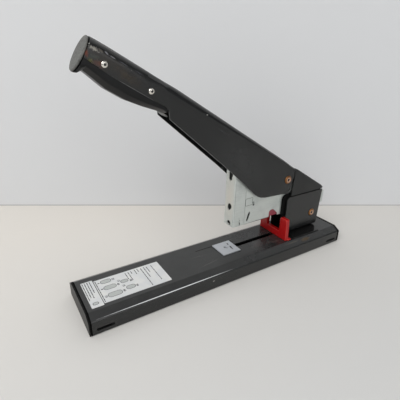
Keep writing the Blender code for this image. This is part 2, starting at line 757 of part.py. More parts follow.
def make_rear_cover(looks):
    front = HINGE_X - COVER_FRONT_AHEAD
    rear = HINGE_X + COVER_REAR_BEHIND
    corners = [
        (front - COVER_FRONT_LEAN, COVER_BOTTOM, 0),
        (rear, COVER_BOTTOM, COVER_EDGE / 2),
        (rear, COVER_REAR_TOP, COVER_CORNER),
        (front, COVER_FRONT_TOP, COVER_CORNER),
    ]
    outline = rounded(corners)
    shape = prism(outline, "Y", -FRAME_HALF_WIDTH, FRAME_HALF_WIDTH)
    bmesh.ops.recalc_face_normals(shape, faces=shape.faces)
    bevel_top_edges(shape, COVER_BOTTOM + COVER_EDGE, FRAME_HALF_WIDTH, COVER_EDGE)
    cover = make_piece("rear_cover", shape, looks["cover_plastic"])
    mouth = front - COVER_FRONT_LEAN - OVERRUN
    inside = [
        (mouth, COVER_BOTTOM - OVERRUN, 0),
        (rear - COVER_SHEET, COVER_BOTTOM - OVERRUN, 0),
        (rear - COVER_SHEET, cover_ceiling(rear - COVER_SHEET, COVER_SHEET), COVER_CORNER / 2),
        (mouth, cover_ceiling(mouth, COVER_SHEET), 0),
    ]
    inner = FRAME_HALF_WIDTH - COVER_SHEET
    cut(cover, prism(rounded(inside), "Y", -inner, inner), "inside")
    return cover


def bevel_top_edges(shape, lowest, half_width, radius):
    # Rounds the two long outer edges that lie above a height.
    edges = []
    for edge in shape.edges:
        ends = [vertex.co for vertex in edge.verts]
        level = all(abs(abs(end.y) - half_width) < FIT / 100 for end in ends)
        same_side = ends[0].y * ends[1].y > 0
        high = all(end.z > lowest for end in ends)
        if level and same_side and high:
            edges.append(edge)
    bmesh.ops.bevel(shape, geom=edges, offset=radius, offset_type="OFFSET", segments=3, profile=0.5, affect="EDGES")


def make_hinge_pin(looks):
    reach = FRAME_HALF_WIDTH + FIT
    profile = rivet_profile(HINGE_PIN_RADIUS, HINGE_HEAD_RADIUS, RIVET_HEAD_HEIGHT, -reach, reach)
    place = (HINGE_X, 0.0, HINGE_HEIGHT)
    return make_piece("hinge_pin", turned(profile, place, "Y"), looks["brass_plate"])


def make_mount_rivets(looks):
    low = BASE_HEIGHT - BASE_SHEET - FIT
    high = BRACKET_FLOOR + FIT
    profile = rivet_profile(MOUNT_RIVET_RADIUS, MOUNT_RIVET_HEAD_RADIUS, MOUNT_RIVET_HEAD_HEIGHT, low, high)
    for number, ahead in enumerate(MOUNT_RIVETS_AHEAD):
        rivet = turned(profile, (HINGE_X - ahead, 0.0, 0.0), "Z", ROUND_SIDES // 2)
        make_piece(f"mounting_rivet_{number + 1}", rivet, looks["plated_steel"])


def make_anvil(looks):
    outline = box_outline(ANVIL_X, ANVIL_X + ANVIL_LENGTH, -ANVIL_HALF_WIDTH, ANVIL_HALF_WIDTH)
    anvil = make_piece("anvil_plate", prism(outline, "Z", ANVIL_BOTTOM, ANVIL_TOP), looks["plated_steel"])
    # Two clinch pockets in line under the staple's legs, where the nose lands.
    groove_x = ANVIL_X + ANVIL_LENGTH - CLINCH_FROM_EDGE
    for side in (-1, 1):
        start = side * CLINCH_WIDTH
        pocket = slot_outline((groove_x, start), (groove_x, start + side * CLINCH_LENGTH / 2), CLINCH_WIDTH)
        label = "near_pocket" if side < 0 else "far_pocket"
        cut(anvil, prism(pocket, "Z", ANVIL_TOP - CLINCH_DEPTH, ANVIL_TOP + OVERRUN), label)
    return anvil


def make_paper_guide(looks, pivot):
    # A red cross piece with two tall cheeks either side of the head, standing on two toes.
    low = BASE_HEIGHT + FIT
    cheek = [
        (GUIDE_HALF_WIDTH, low, 0),
        (GUIDE_TOP_HALF_WIDTH, GUIDE_TOP, GUIDE_CORNER),
        (GUIDE_GAP_HALF_WIDTH, GUIDE_TOP, GUIDE_CORNER),
        (GUIDE_GAP_HALF_WIDTH, GUIDE_BAR_TOP, GUIDE_CORNER / 2),
    ]
    mirrored = [(-first, second, radius) for first, second, radius in reversed(cheek)]
    outline = rounded(cheek + mirrored)
    guide = make_piece("paper_guide", prism(outline, "X", GUIDE_X, GUIDE_X + GUIDE_SHEET), looks["red_plastic"], pivot)
    toe_start = GUIDE_X + GUIDE_SHEET - GUIDE_SHEET / 4
    toe_end = GUIDE_X + GUIDE_SHEET + GUIDE_TOE_LENGTH
    toe = box_outline(toe_start, toe_end, low, low + GUIDE_TOE_SHEET)
    add(guide, pair_of_prisms(toe, GUIDE_TOE_INNER, GUIDE_TOE_OUTER), "toes")
    return guide


def make_guide_clamp(looks, pivot):
    # A key through the base slot with a broad plate under the sheet.
    middle = GUIDE_X + GUIDE_SHEET / 2
    stem_half = GUIDE_SLOT_HALF_WIDTH - FIT
    plate_top = BASE_HEIGHT - BASE_SHEET - FIT
    plate_low = plate_top - CLAMP_SHEET
    section = [
        (-CLAMP_HALF_WIDTH, plate_low),
        (CLAMP_HALF_WIDTH, plate_low),
        (CLAMP_HALF_WIDTH, plate_top),
        (stem_half, plate_top),
        (stem_half, BASE_HEIGHT),
        (-stem_half, BASE_HEIGHT),
        (-stem_half, plate_top),
        (-CLAMP_HALF_WIDTH, plate_top),
    ]
    key = prism(section, "X", middle - CLAMP_LENGTH / 2, middle + CLAMP_LENGTH / 2)
    return make_piece("guide_clamp", key, looks["plated_steel"], pivot)


def head_top(x):
    # The head's hidden upper edge falls straight from the nose to the upper lug.
    share = (x - NOSE_X) / (PIVOT_X - NOSE_X)
    return NOSE_TOP + (LUG_TOP - NOSE_TOP) * share


def make_magazine_body(looks, pivot):
    # Two side plates joined by a web over the staples, with lugs for both pivots.
    start = NOSE_X + NOSE_DEPTH + FIT
    window = HINGE_X - STAPLE_WINDOW_AHEAD
    window_end = window + STAPLE_WINDOW_LENGTH
    window_crest = window + STAPLE_WINDOW_LENGTH * STAPLE_WINDOW_TOP_SHARE
    window_top = HEAD_BOTTOM + STAPLE_WINDOW_HEIGHT
    rear = HINGE_X - PLATE_REAR_AHEAD
    lug_rear = HINGE_X - LUG_REAR_AHEAD
    tab_low = HEAD_BOTTOM - FIT - SPRING_TAB_SHEET
    tab_x = HINGE_X - HEAD_SPRING_AHEAD
    tab_start = tab_x - SPRING_TAB_HALF_LENGTH
    tab_end = tab_x + SPRING_TAB_HALF_LENGTH
    foot_low = HINGE_HEIGHT - LUG_RADIUS
    corners = [
        (start, HEAD_BOTTOM, 0),
        (window, HEAD_BOTTOM, 0),
        (window, window_top, STAPLE_WINDOW_RADIUS),
        (window_crest, window_top, STAPLE_WINDOW_RADIUS),
        (window_end, window_top - STAPLE_WINDOW_FALL, STAPLE_WINDOW_RADIUS / 2),
        (window_end, HEAD_BOTTOM, 0),
        (tab_start, HEAD_BOTTOM, 0),
        (tab_start, tab_low, 0),
        (tab_end, tab_low, 0),
        (tab_end, HEAD_BOTTOM, 0),
        (HINGE_X - LUG_RADIUS, HEAD_BOTTOM, 0),
        (HINGE_X - LUG_RADIUS, foot_low, LUG_RADIUS),
        (HINGE_X + LUG_RADIUS, foot_low, LUG_RADIUS),
        (HINGE_X + LUG_RADIUS, HEAD_BOTTOM, 0),
        (TAIL_X, HEAD_BOTTOM, 0),
        (TAIL_X, WEB_TOP, 0),
        (rear + LUG_RADIUS, WEB_TOP, 0),
        (rear, WEB_TOP + HEAD_SHEET, LUG_RADIUS / 2),
        (rear + LUG_RADIUS, WEB_TOP + LUG_RADIUS, LUG_RADIUS),
        (lug_rear, PIVOT_HEIGHT - 2 * LUG_RADIUS, LUG_RADIUS),
        (lug_rear, LUG_TOP, LUG_RADIUS),
        (PIVOT_X, LUG_TOP, LUG_RADIUS),
        (start, head_top(start), 0),
    ]
    outline = rounded(corners)
    plates = pair_of_prisms(outline, HEAD_INNER, HEAD_HALF_WIDTH)
    body = make_piece("magazine_body", plates, looks["plated_steel"], pivot)
    web_wide = HEAD_INNER + HEAD_SHEET / 2
    web_outline = [
        (CHANNEL_FRONT, -CHANNEL_HALF_WIDTH),
        (start, -CHANNEL_HALF_WIDTH),
        (start, -web_wide),
        (TAIL_X, -web_wide),
        (TAIL_X, web_wide),
        (start, web_wide),
        (start, CHANNEL_HALF_WIDTH),
        (CHANNEL_FRONT, CHANNEL_HALF_WIDTH),
    ]
    add(body, prism(web_outline, "Z", WEB_BOTTOM, WEB_TOP), "web")
    tab_outline = box_outline(tab_start, tab_end, -web_wide, web_wide)
    add(body, prism(tab_outline, "Z", tab_low, HEAD_BOTTOM - FIT), "spring_tab")
    reach = HEAD_HALF_WIDTH + OVERRUN
    drill_hinge_hole(body, reach)
    pivot_place = (PIVOT_X, 0.0, PIVOT_HEIGHT)
    cut(body, cylinder(pivot_place, PIVOT_PIN_RADIUS + FIT, "Y", -reach, reach), "pivot_hole")
    slot_top = (start + SIGHT_SLOT_TOP_BACK, WEB_BOTTOM - SIGHT_SLOT_TOP_DROP)
    slot_low = (start + SIGHT_SLOT_BOTTOM_BACK, HEAD_BOTTOM + SIGHT_SLOT_BOTTOM_RISE)
    sight = slot_outline(slot_low, slot_top, SIGHT_SLOT_WIDTH)
    cut(body, prism(sight, "Y", -reach, reach), "sight_slots")
    for number, rise in enumerate(PLATE_HOLES_RISE):
        small = circle((start + PLATE_HOLES_BACK, HEAD_BOTTOM + rise), SMALL_HOLE_RADIUS, ROUND_SIDES // 3)
        cut(body, prism(small, "Y", -reach, reach), f"plate_holes_{number}")
    return body


def make_nose_cover(looks, pivot):
    # A folded plate round the front of the head, with the notch and holes of its face.
    rear = NOSE_X + NOSE_DEPTH
    corners = [
        (rear, HEAD_HALF_WIDTH, 0),
        (NOSE_X, HEAD_HALF_WIDTH, NOSE_BEND),
        (NOSE_X, -HEAD_HALF_WIDTH, NOSE_BEND),
        (rear, -HEAD_HALF_WIDTH, 0),
    ]
    section = channel_outline(rounded(corners, closed=False)[::-1], HEAD_SHEET)
    cover = make_piece("nose_cover", prism(section, "Z", HEAD_BOTTOM, NOSE_TOP + OVERRUN), looks["plated_steel"], pivot)
    top_cut = [
        (NOSE_X - OVERRUN, NOSE_TOP),
        (rear + OVERRUN, head_top(rear + OVERRUN)),
        (rear + OVERRUN, NOSE_TOP + 2 * OVERRUN),
        (NOSE_X - OVERRUN, NOSE_TOP + 2 * OVERRUN),
    ]
    reach = HEAD_HALF_WIDTH + OVERRUN
    cut(cover, prism(top_cut, "Y", -reach, reach), "top_slope")
    front = NOSE_X - OVERRUN
    behind = NOSE_X + HEAD_SHEET + OVERRUN
    notch = slot_outline((0.0, NOSE_TOP - NOSE_NOTCH_DEPTH), (0.0, NOSE_TOP + OVERRUN), NOSE_NOTCH_WIDTH)
    cut(cover, prism(notch, "X", front, behind), "top_notch")
    oval_low = NOSE_OVAL_BOTTOM + NOSE_NOTCH_WIDTH / 2
    oval_high = NOSE_OVAL_TOP - NOSE_NOTCH_WIDTH / 2
    oval = slot_outline((0.0, oval_low), (0.0, oval_high), NOSE_NOTCH_WIDTH)
    cut(cover, prism(oval, "X", front, behind), "oval_hole")
    hole = circle((0.0, NOSE_HOLE_HEIGHT), NOSE_HOLE_RADIUS, ROUND_SIDES // 2)
    cut(cover, prism(hole, "X", front, behind), "round_hole")
    slit_x = NOSE_X + NOSE_SLIT_BACK
    slit_low = HEAD_BOTTOM + NOSE_SLIT_RISE
    slit = slot_outline((slit_x, slit_low), (slit_x, slit_low + NOSE_SLIT_LENGTH), NOSE_SLIT_WIDTH)
    cut(cover, prism(slit, "Y", -reach, reach), "side_slits")
    dot = circle((NOSE_X + NOSE_DOT_BACK, HEAD_BOTTOM + NOSE_DOT_RISE), SMALL_HOLE_RADIUS, ROUND_SIDES // 3)
    cut(cover, prism(dot, "Y", -reach, reach), "side_holes")
    return cover


def make_staple_rail(looks, pivot):
    section = lying_channel(RAIL_HALF_WIDTH, CHANNEL_BOTTOM, RAIL_TOP, RAIL_SHEET)
    channel = prism(section, "X", CHANNEL_FRONT, PLUG_X - FIT)
    rail = make_piece("staple_rail", channel, looks["plated_steel"], pivot)
    # The rail's front end is folded shut behind the nose.
    wall = box_outline(-RAIL_HALF_WIDTH + RAIL_SHEET / 2, RAIL_HALF_WIDTH - RAIL_SHEET / 2, CHANNEL_BOTTOM,
                       RAIL_TOP - RAIL_SHEET / 2)
    add(rail, prism(wall, "X", CHANNEL_FRONT, CHANNEL_FRONT + RAIL_SHEET), "front_wall")
    return rail


def make_staple_strip(looks, pivot):
    low = STAPLE_TOP - STAPLE_LEG
    section = lying_channel(STAPLE_HALF_CROWN, low, STAPLE_TOP, STAPLE_WIRE)
    strip = prism(section, "X", CHANNEL_FRONT, CHANNEL_FRONT + STAPLE_STRIP_LENGTH)
    return make_piece("staple_strip", strip, looks["bright_steel"], pivot)


def make_tail_plug(looks, pivot):
    corners = [
        (-CHANNEL_HALF_WIDTH, CHANNEL_BOTTOM, 0),
        (CHANNEL_HALF_WIDTH, CHANNEL_BOTTOM, 0),
        (CHANNEL_HALF_WIDTH, STAPLE_TOP, HEAD_SHEET),
        (-CHANNEL_HALF_WIDTH, STAPLE_TOP, HEAD_SHEET),
    ]
    plug = prism(rounded(corners), "X", PLUG_X, TAIL_X)
    return make_piece("tail_plug", plug, looks["black_plastic"], pivot)


def make_pusher(looks, pivot):
    section = lying_channel(CHANNEL_HALF_WIDTH, CHANNEL_BOTTOM, STAPLE_TOP, PUSHER_WALL)
    pusher = prism(section, "X", PUSHER_X, PUSHER_X + PUSHER_LENGTH)
    return make_piece("pusher", pusher, looks["red_plastic"], pivot)


def make_driver_blade(looks, pivot):
    # A flat blade down the nose whose top folds back into two slotted ears.
    slot_back = DRIVE_PIN_X + DRIVE_PIN_RADIUS + FIT
    ear_end = slot_back + DRIVE_PIN_RADIUS + BLADE_SHEET / 2
    ear_low = DRIVE_PIN_Z - EAR_HALF_HEIGHT
    ear_high = DRIVE_PIN_Z + EAR_HALF_HEIGHT
    corners = [
        (ear_end, BLADE_HALF_WIDTH, 0),
        (BLADE_X, BLADE_HALF_WIDTH, BLADE_SHEET * FOLD_SHARE),
        (BLADE_X, -BLADE_HALF_WIDTH, BLADE_SHEET * FOLD_SHARE),
        (ear_end, -BLADE_HALF_WIDTH, 0),
    ]
    section = channel_outline(rounded(corners, closed=False)[::-1], BLADE_SHEET)
    blade = make_piece("driver_blade", prism(section, "Z", BLADE_BOTTOM, ear_high), looks["bright_steel"], pivot)
    behind = BLADE_X + BLADE_SHEET
    relief = box_outline(behind, ear_end + OVERRUN, BLADE_BOTTOM - OVERRUN, ear_low)
    reach = BLADE_HALF_WIDTH + OVERRUN
    cut(blade, prism(relief, "Y", -reach, reach), "below_ears")
    width = 2 * DRIVE_PIN_RADIUS + 2 * FIT
    slot = slot_outline((DRIVE_PIN_X - DRIVE_PIN_TRAVEL, DRIVE_PIN_Z), (DRIVE_PIN_X, DRIVE_PIN_Z), width)
    cut(blade, prism(slot, "Y", -reach, reach), "ear_slots")
    return blade


def make_drive_arm(looks, pivot):
    # The lever inside the head: a folded channel with a solid pad over the handle spring.
    nose = DRIVE_PIN_X - ARM_PIN_BACK
    pad = PIVOT_X - ARM_PAD_BACK + ARM_PIN_BACK / 2
    pad_start = pad - ARM_PAD_HALF_LENGTH
    pad_end = pad + ARM_PAD_HALF_LENGTH
    pad_low = PIVOT_HEIGHT - ARM_PAD_DROP
    crest = PIVOT_X - ARM_CREST_AHEAD
    crest_high = PIVOT_HEIGHT + ARM_CREST_RISE
    corners = [
        (nose, DRIVE_PIN_Z - ARM_NOSE_HALF_DEPTH, ARM_CORNER),
        (pad_start, pad_low, ARM_CORNER),
        (pad_end, pad_low, ARM_CORNER),
        (PIVOT_X - ARM_RING, PIVOT_HEIGHT - ARM_RING, ARM_RING),
        (PIVOT_X + ARM_RING, PIVOT_HEIGHT - ARM_RING, ARM_RING),
        (PIVOT_X + ARM_RING, PIVOT_HEIGHT + ARM_RING, ARM_RING),
        (crest + ARM_CREST_LENGTH, crest_high - ARM_CREST_FALL, ARM_CORNER),
        (crest, crest_high, ARM_CORNER),
        (nose, DRIVE_PIN_Z + ARM_NOSE_HALF_DEPTH, ARM_CORNER),
    ]
    outline = rounded(corners)
    arm = make_piece("drive_arm", prism(outline, "Y", -ARM_HALF_WIDTH, ARM_HALF_WIDTH), looks["black_paint"], pivot)
    inner = ARM_HALF_WIDTH - ARM_SHEET
    lowered = [(first, second - ARM_SHEET) for first, second in outline]
    hollow = prism(lowered, "Y", -inner, inner)
    divide(hollow, pad_start)
    divide(hollow, pad_end)
    middle = [face for face in hollow.faces if pad_start < face.calc_center_median().x < pad_end]
    bmesh.ops.delete(hollow, geom=middle, context="FACES")
    bmesh.ops.holes_fill(hollow, edges=hollow.edges)
    cut(arm, hollow, "hollow")
    reach = ARM_HALF_WIDTH + OVERRUN
    for label, place, radius in (
        ("pivot_hole", (PIVOT_X, 0.0, PIVOT_HEIGHT), PIVOT_PIN_RADIUS),
        ("pin_hole", (DRIVE_PIN_X, 0.0, DRIVE_PIN_Z), DRIVE_PIN_RADIUS),
        ("crossbar_hole", (CROSSBAR_X, 0.0, CROSSBAR_Z), CROSSBAR_RADIUS),
    ):
        cut(arm, cylinder(place, radius + FIT, "Y", -reach, reach, ROUND_SIDES // 2), label)
    return arm


def divide(shape, x):
    # A clean cut across a solid at one place along it, which leaves a loop of edges there.
    everything = list(shape.verts) + list(shape.edges) + list(shape.faces)
    bmesh.ops.bisect_plane(shape, geom=everything, plane_co=(x, 0.0, 0.0), plane_no=(1, 0, 0))


def make_arm_pins(looks, pivot):
    place = (CROSSBAR_X, 0.0, CROSSBAR_Z)
    reach = HANDLE_INNER - FIT
    bar = cylinder(place, CROSSBAR_RADIUS, "Y", -reach, reach, ROUND_SIDES // 2)
    make_piece("arm_crossbar", bar, looks["plated_steel"], pivot)
    place = (DRIVE_PIN_X, 0.0, DRIVE_PIN_Z)
    pin = cylinder(place, DRIVE_PIN_RADIUS, "Y", -BLADE_HALF_WIDTH, BLADE_HALF_WIDTH, ROUND_SIDES // 2)
    make_piece("drive_pin", pin, looks["bright_steel"], pivot)
    reach = HANDLE_HALF_WIDTH + FIT
    profile = rivet_profile(PIVOT_PIN_RADIUS, PIVOT_HEAD_RADIUS, RIVET_HEAD_HEIGHT, -reach, reach)
    place = (PIVOT_X, 0.0, PIVOT_HEIGHT)
    make_piece("pivot_rivet", turned(profile, place, "Y"), looks["brass_plate"], pivot)


def handle_place(ahead_share, rise_share):
    return Vector((PIVOT_X - ahead_share * HANDLE_REACH, 0.0, PIVOT_HEIGHT + rise_share * HANDLE_RISE))


def handle_stations():
    stations = []
    for top_ahead, top_rise, low_ahead, low_rise in HANDLE_STATION_SHARES:
        stations.append((handle_place(top_ahead, top_rise), handle_place(low_ahead, low_rise)))
    for top_back, top_rise, low_back, low_share in HANDLE_REAR_SHARES:
        top = Vector((PIVOT_X + top_back * HANDLE_BACK, 0.0, PIVOT_HEIGHT + top_rise * HANDLE_RISE))
        low = Vector((PIVOT_X + low_back * HANDLE_BACK, 0.0, PIVOT_HEIGHT + low_share * HANDLE_DROP))
        stations.append((top, low))
    return stations


def folded_section(half_width, edge, sheet, depth):
    # Across and down from the top: an outer fold and the same fold one sheet further in.
    outer = rounded([(-half_width, depth, 0), (-half_width, 0.0, edge), (half_width, 0.0, edge),
                     (half_width, depth, 0)], closed=False)
    inner_edge = edge - sheet
    inner_half = half_width - sheet
    inner = rounded([(inner_half, depth, 0), (inner_half, sheet, inner_edge), (-inner_half, sheet, inner_edge),
                     (-inner_half, depth, 0)], closed=False)
    return outer + inner


def loft(sections):
    # Bridges equal rings of points and closes both ends.
    shape = bmesh.new()
    rings = [[shape.verts.new(point) for point in section] for section in sections]
    count = len(rings[0])
    for first, second in zip(rings, rings[1:]):
        for index in range(count):
            following = (index + 1) % count
            shape.faces.new((first[index], first[following], second[following], second[index]))
    shape.faces.new(rings[0])
    shape.faces.new(rings[-1])
    return shape


def handle_edge(x):
    # The top is a high arch at the front end and nearly flat at the rear.
    share = min(max((PIVOT_X - x) / HANDLE_REACH, 0.0), 1)
    return HANDLE_REAR_EDGE + (HANDLE_FRONT_EDGE - HANDLE_REAR_EDGE) * share


def make_handle_shell(looks, pivot):
    sections = []
    for top, low in handle_stations():
        down = low - top
        ring = []
        for across, depth in folded_section(HANDLE_HALF_WIDTH, handle_edge(top.x), TOP_SKIN, down.length):
            ring.append(top + down.normalized() * depth + Vector((0.0, across, 0.0)))
        # The sides keep the sheet's own thickness where the sloping top needs a longer one.
        for point in ring[len(ring) // 2:]:
            point.y = math.copysign(min(abs(point.y) + TOP_SKIN - HANDLE_SHEET, HANDLE_INNER), point.y)
        sections.append(ring)
    shell = make_piece("handle_shell", loft(sections), looks["dark_paint"], pivot)
    reach = HANDLE_HALF_WIDTH + OVERRUN
    pivot_place = (PIVOT_X, 0.0, PIVOT_HEIGHT)
    cut(shell, cylinder(pivot_place, PIVOT_PIN_RADIUS + FIT, "Y", -reach, reach), "pivot_hole")
    drill_grip_holes(shell, reach)
    return shell


def drill_grip_holes(piece, reach):
    for number, shares in enumerate(GRIP_RIVET_SHARES):
        place = handle_place(*shares)
        hole = cylinder(place, GRIP_RIVET_RADIUS + FIT, "Y", -reach, reach, ROUND_SIDES // 2)
        cut(piece, hole, f"grip_hole_{number}")


def make_grip(looks, pivot):
    # A moulded filling inside the channel that swells to a round underside.
    inner = HANDLE_INNER - FIT
    flat = HANDLE_HALF_WIDTH * GRIP_FLAT_SHARE
    sections = []
    for line_ahead, line_rise, low_ahead, low_rise in GRIP_STATION_SHARES:
        line = handle_place(line_ahead, line_rise)
        low = handle_place(low_ahead, low_rise)
        down = (low - line).normalized()
        depth = (low - line).length
        corners = [
            (-inner, -GRIP_CORE, 0),
            (inner, -GRIP_CORE, 0),
            (inner, FIT, 0),
            (HANDLE_HALF_WIDTH, FIT, 0),
            (HANDLE_HALF_WIDTH, depth / 2, depth / 3),
            (flat, depth, depth / 3),
            (-flat, depth, depth / 3),
            (-HANDLE_HALF_WIDTH, depth / 2, depth / 3),
            (-HANDLE_HALF_WIDTH, FIT, 0),
            (-inner, FIT, 0),
        ]
        ring = []
        for across, fall in rounded(corners):
            ring.append(line + down * fall + Vector((0.0, across, 0.0)))
        sections.append(ring)
    grip = make_piece("grip", loft(sections), looks["black_plastic"], pivot)
    drill_grip_holes(grip, HANDLE_HALF_WIDTH + OVERRUN)
    # The socket that takes the insert's neck.
    levels = ((INSERT_DEPTH + FIT, INSERT_NECK_SHARE), (0.0, INSERT_NECK_SHARE))
    cut(grip, oval_loft(levels, FIT), "insert_socket")
    return grip


def oval_loft(levels, spare=0.0):
    # Ovals across the handle's front end, each a depth behind the insert's face and a share of its size.
    top, low = handle_stations()[0]
    upward = (top - low).normalized()
    forward = Vector((-upward.z, 0.0, upward.x))
    centre = top + upward * (INSERT_TOP_RISE - INSERT_HALF_HEIGHT) + forward * (FIT + INSERT_FLANGE)
    sections = []
    for behind, share in levels:
        ring = []
        half_width = share * INSERT_HALF_WIDTH + spare
        half_height = share * INSERT_HALF_HEIGHT + spare
        for across, rise in circle((0.0, 0.0), 1.0):
            side = Vector((0.0, across * half_width, 0.0))
            ring.append(centre - forward * behind + side + upward * (rise * half_height))
        sections.append(ring)
    return loft(sections)


def make_grip_insert(looks, pivot):
    # An oval disc that closes the front end, held by a neck in the grip.
    levels = (
        (INSERT_DEPTH, INSERT_NECK_SHARE),
        (INSERT_FLANGE, INSERT_NECK_SHARE),
        (INSERT_FLANGE, 1.0),
        (INSERT_DOME, 1.0),
        (0.0, INSERT_DOME_SHARE),
    )
    return make_piece("grip_insert", oval_loft(levels), looks["grey_plastic"], pivot)


def make_grip_rivets(looks, pivot):
    reach = HANDLE_HALF_WIDTH + FIT
    profile = rivet_profile(GRIP_RIVET_RADIUS, GRIP_RIVET_HEAD_RADIUS, GRIP_RIVET_HEAD_HEIGHT, -reach, reach)
    for number, shares in enumerate(GRIP_RIVET_SHARES):
        rivet = turned(profile, handle_place(*shares), "Y", ROUND_SIDES // 2)
        make_piece(f"grip_rivet_{number + 1}", rivet, looks["bright_steel"], pivot)


def make_springs(looks, head_pivot):
    tab_low = HEAD_BOTTOM - FIT - SPRING_TAB_SHEET
    low = BRACKET_FLOOR + FIT
    place = (HINGE_X - HEAD_SPRING_AHEAD, 0.0, low)
    coil_spring("head_spring", looks["spring_steel"], None, place, tab_low - FIT - low, HEAD_SPRING_TURNS)
    low = WEB_TOP + FIT
    high = PIVOT_HEIGHT - ARM_PAD_DROP - FIT
    place = (PIVOT_X - ARM_PAD_BACK + ARM_PIN_BACK / 2, 0.0, low)
    coil_spring("handle_spring", looks["spring_steel"], head_pivot, place, high - low, HANDLE_SPRING_TURNS)


def build():
    for thing in list(bpy.data.objects):
        bpy.data.objects.remove(thing, do_unlink=True)
    looks = make_materials()
    head_pivot = make_pivot("head_axis", (HINGE_X, 0.0, HINGE_HEIGHT))
    handle_pivot = make_pivot("handle_axis", (PIVOT_X, 0.0, PIVOT_HEIGHT))
    driver_pivot = make_pivot("driver_axis", (BLADE_X, 0.0, BLADE_BOTTOM))
    pusher_pivot = make_pivot("pusher_axis", (PUSHER_X, 0.0, STAPLE_TOP))
    guide_pivot = make_pivot("guide_axis", (GUIDE_X, 0.0, BASE_HEIGHT))

    make_base_shell(looks)
    make_end_caps(looks)
    make_bottom_plate(looks)
    make_feet(looks)
    make_foot_plate(looks)
    make_rear_frame(looks)
    make_guide_bracket(looks)
    make_rear_cover(looks)
    make_hinge_pin(looks)
    make_mount_rivets(looks)
    make_anvil(looks)

    make_magazine_body(looks, head_pivot)
    make_nose_cover(looks, head_pivot)
    make_staple_rail(looks, head_pivot)
    make_staple_strip(looks, head_pivot)
    make_tail_plug(looks, head_pivot)
    make_springs(looks, head_pivot)

    make_handle_shell(looks, handle_pivot)
    make_drive_arm(looks, handle_pivot)
    make_arm_pins(looks, handle_pivot)
    make_grip(looks, handle_pivot)
    make_grip_insert(looks, handle_pivot)
    make_grip_rivets(looks, handle_pivot)

    make_driver_blade(looks, driver_pivot)
    make_pusher(looks, pusher_pivot)
    make_paper_guide(looks, guide_pivot)
    make_guide_clamp(looks, guide_pivot)


build()
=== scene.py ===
import json
import math
import bmesh
import bpy
from mathutils import Matrix, Vector


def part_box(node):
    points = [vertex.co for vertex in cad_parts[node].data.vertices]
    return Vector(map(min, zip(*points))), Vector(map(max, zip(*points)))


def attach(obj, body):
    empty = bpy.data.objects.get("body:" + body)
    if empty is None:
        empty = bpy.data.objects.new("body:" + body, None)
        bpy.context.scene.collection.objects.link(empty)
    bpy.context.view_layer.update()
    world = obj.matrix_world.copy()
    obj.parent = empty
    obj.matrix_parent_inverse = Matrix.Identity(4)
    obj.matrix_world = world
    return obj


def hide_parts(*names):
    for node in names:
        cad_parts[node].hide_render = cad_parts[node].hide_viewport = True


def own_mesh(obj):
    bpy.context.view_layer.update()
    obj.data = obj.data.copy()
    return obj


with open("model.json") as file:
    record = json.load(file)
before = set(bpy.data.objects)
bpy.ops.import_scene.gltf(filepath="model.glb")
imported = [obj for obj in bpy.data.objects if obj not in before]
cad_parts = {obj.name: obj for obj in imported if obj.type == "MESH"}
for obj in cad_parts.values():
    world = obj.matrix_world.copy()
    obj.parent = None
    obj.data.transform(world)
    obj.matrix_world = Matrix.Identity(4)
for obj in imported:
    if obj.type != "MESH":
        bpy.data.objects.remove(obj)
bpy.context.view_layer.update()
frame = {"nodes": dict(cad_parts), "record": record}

# Heavy-duty stapler: enamel, plating, plastic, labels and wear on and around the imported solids.
# Lengths are in metres, and in millimetres inside the dictionaries; +Z is up, nose and grip point to -X.

nodeBody = {name: body for body, names in frame["record"]["behaviour"]["bodies"].items() for name in names}
mm = 0.001
close = 0.005 * mm                   # points nearer than this are one
noiseMean = 0.5                      # what Blender's noise averages


def hexColour(code):
    # sRGB hex to Blender's linear colour
    channels = [int(code[i:i + 2], 16) / 255 for i in (1, 3, 5)]
    linear = [c / 12.92 if c <= 0.04045 else ((c + 0.055) / 1.055) ** 2.4 for c in channels]
    return (*linear, 1.0)


def perSize(size):
    # Noise scale for features of a size in mm
    return 1 / (size * mm)


def addNode(tree, kind, inputs=None, **settings):
    # One shader node with its settings; an input is a value or an output socket to link
    node = tree.nodes.new(kind)
    for name, value in settings.items():
        setattr(node, name, value)
    for name, value in (inputs or {}).items():
        if isinstance(value, bpy.types.NodeSocket):
            tree.links.new(value, node.inputs[name])
        else:
            node.inputs[name].default_value = value
    return node


def newMaterial(name, shaderValues):
    material = bpy.data.materials.new(name)
    material.use_nodes = True
    tree = material.node_tree
    shader = tree.nodes["Principled BSDF"]
    for socket, value in shaderValues.items():
        shader.inputs[socket].default_value = value
    return material, tree, shader


def layColour(tree, under, over, cover):
    # One colour over another by a mask
    mix = addNode(tree, "ShaderNodeMix", {"Factor": cover}, data_type="RGBA")
    for socket, colour in (("A", under), ("B", over)):
        if isinstance(colour, bpy.types.NodeSocket):
            tree.links.new(colour, mix.inputs[socket])
        else:
            mix.inputs[socket].default_value = hexColour(colour)
    return mix.outputs["Result"]


def layValue(tree, under, over, cover):
    mix = addNode(tree, "ShaderNodeMix", {"Factor": cover, "A": under, "B": over}, data_type="FLOAT")
    return mix.outputs["Result"]


markDefaults = {
    "turn": (0, 0, 0),               # degrees
    "ragged": 1.2,                   # how far the noise eats into the rim
    "grain": 2.0,                    # size of the rim's teeth, in mm
    "soft": 0.5,                     # how much of the oval fades
    "strength": 0.8,
}


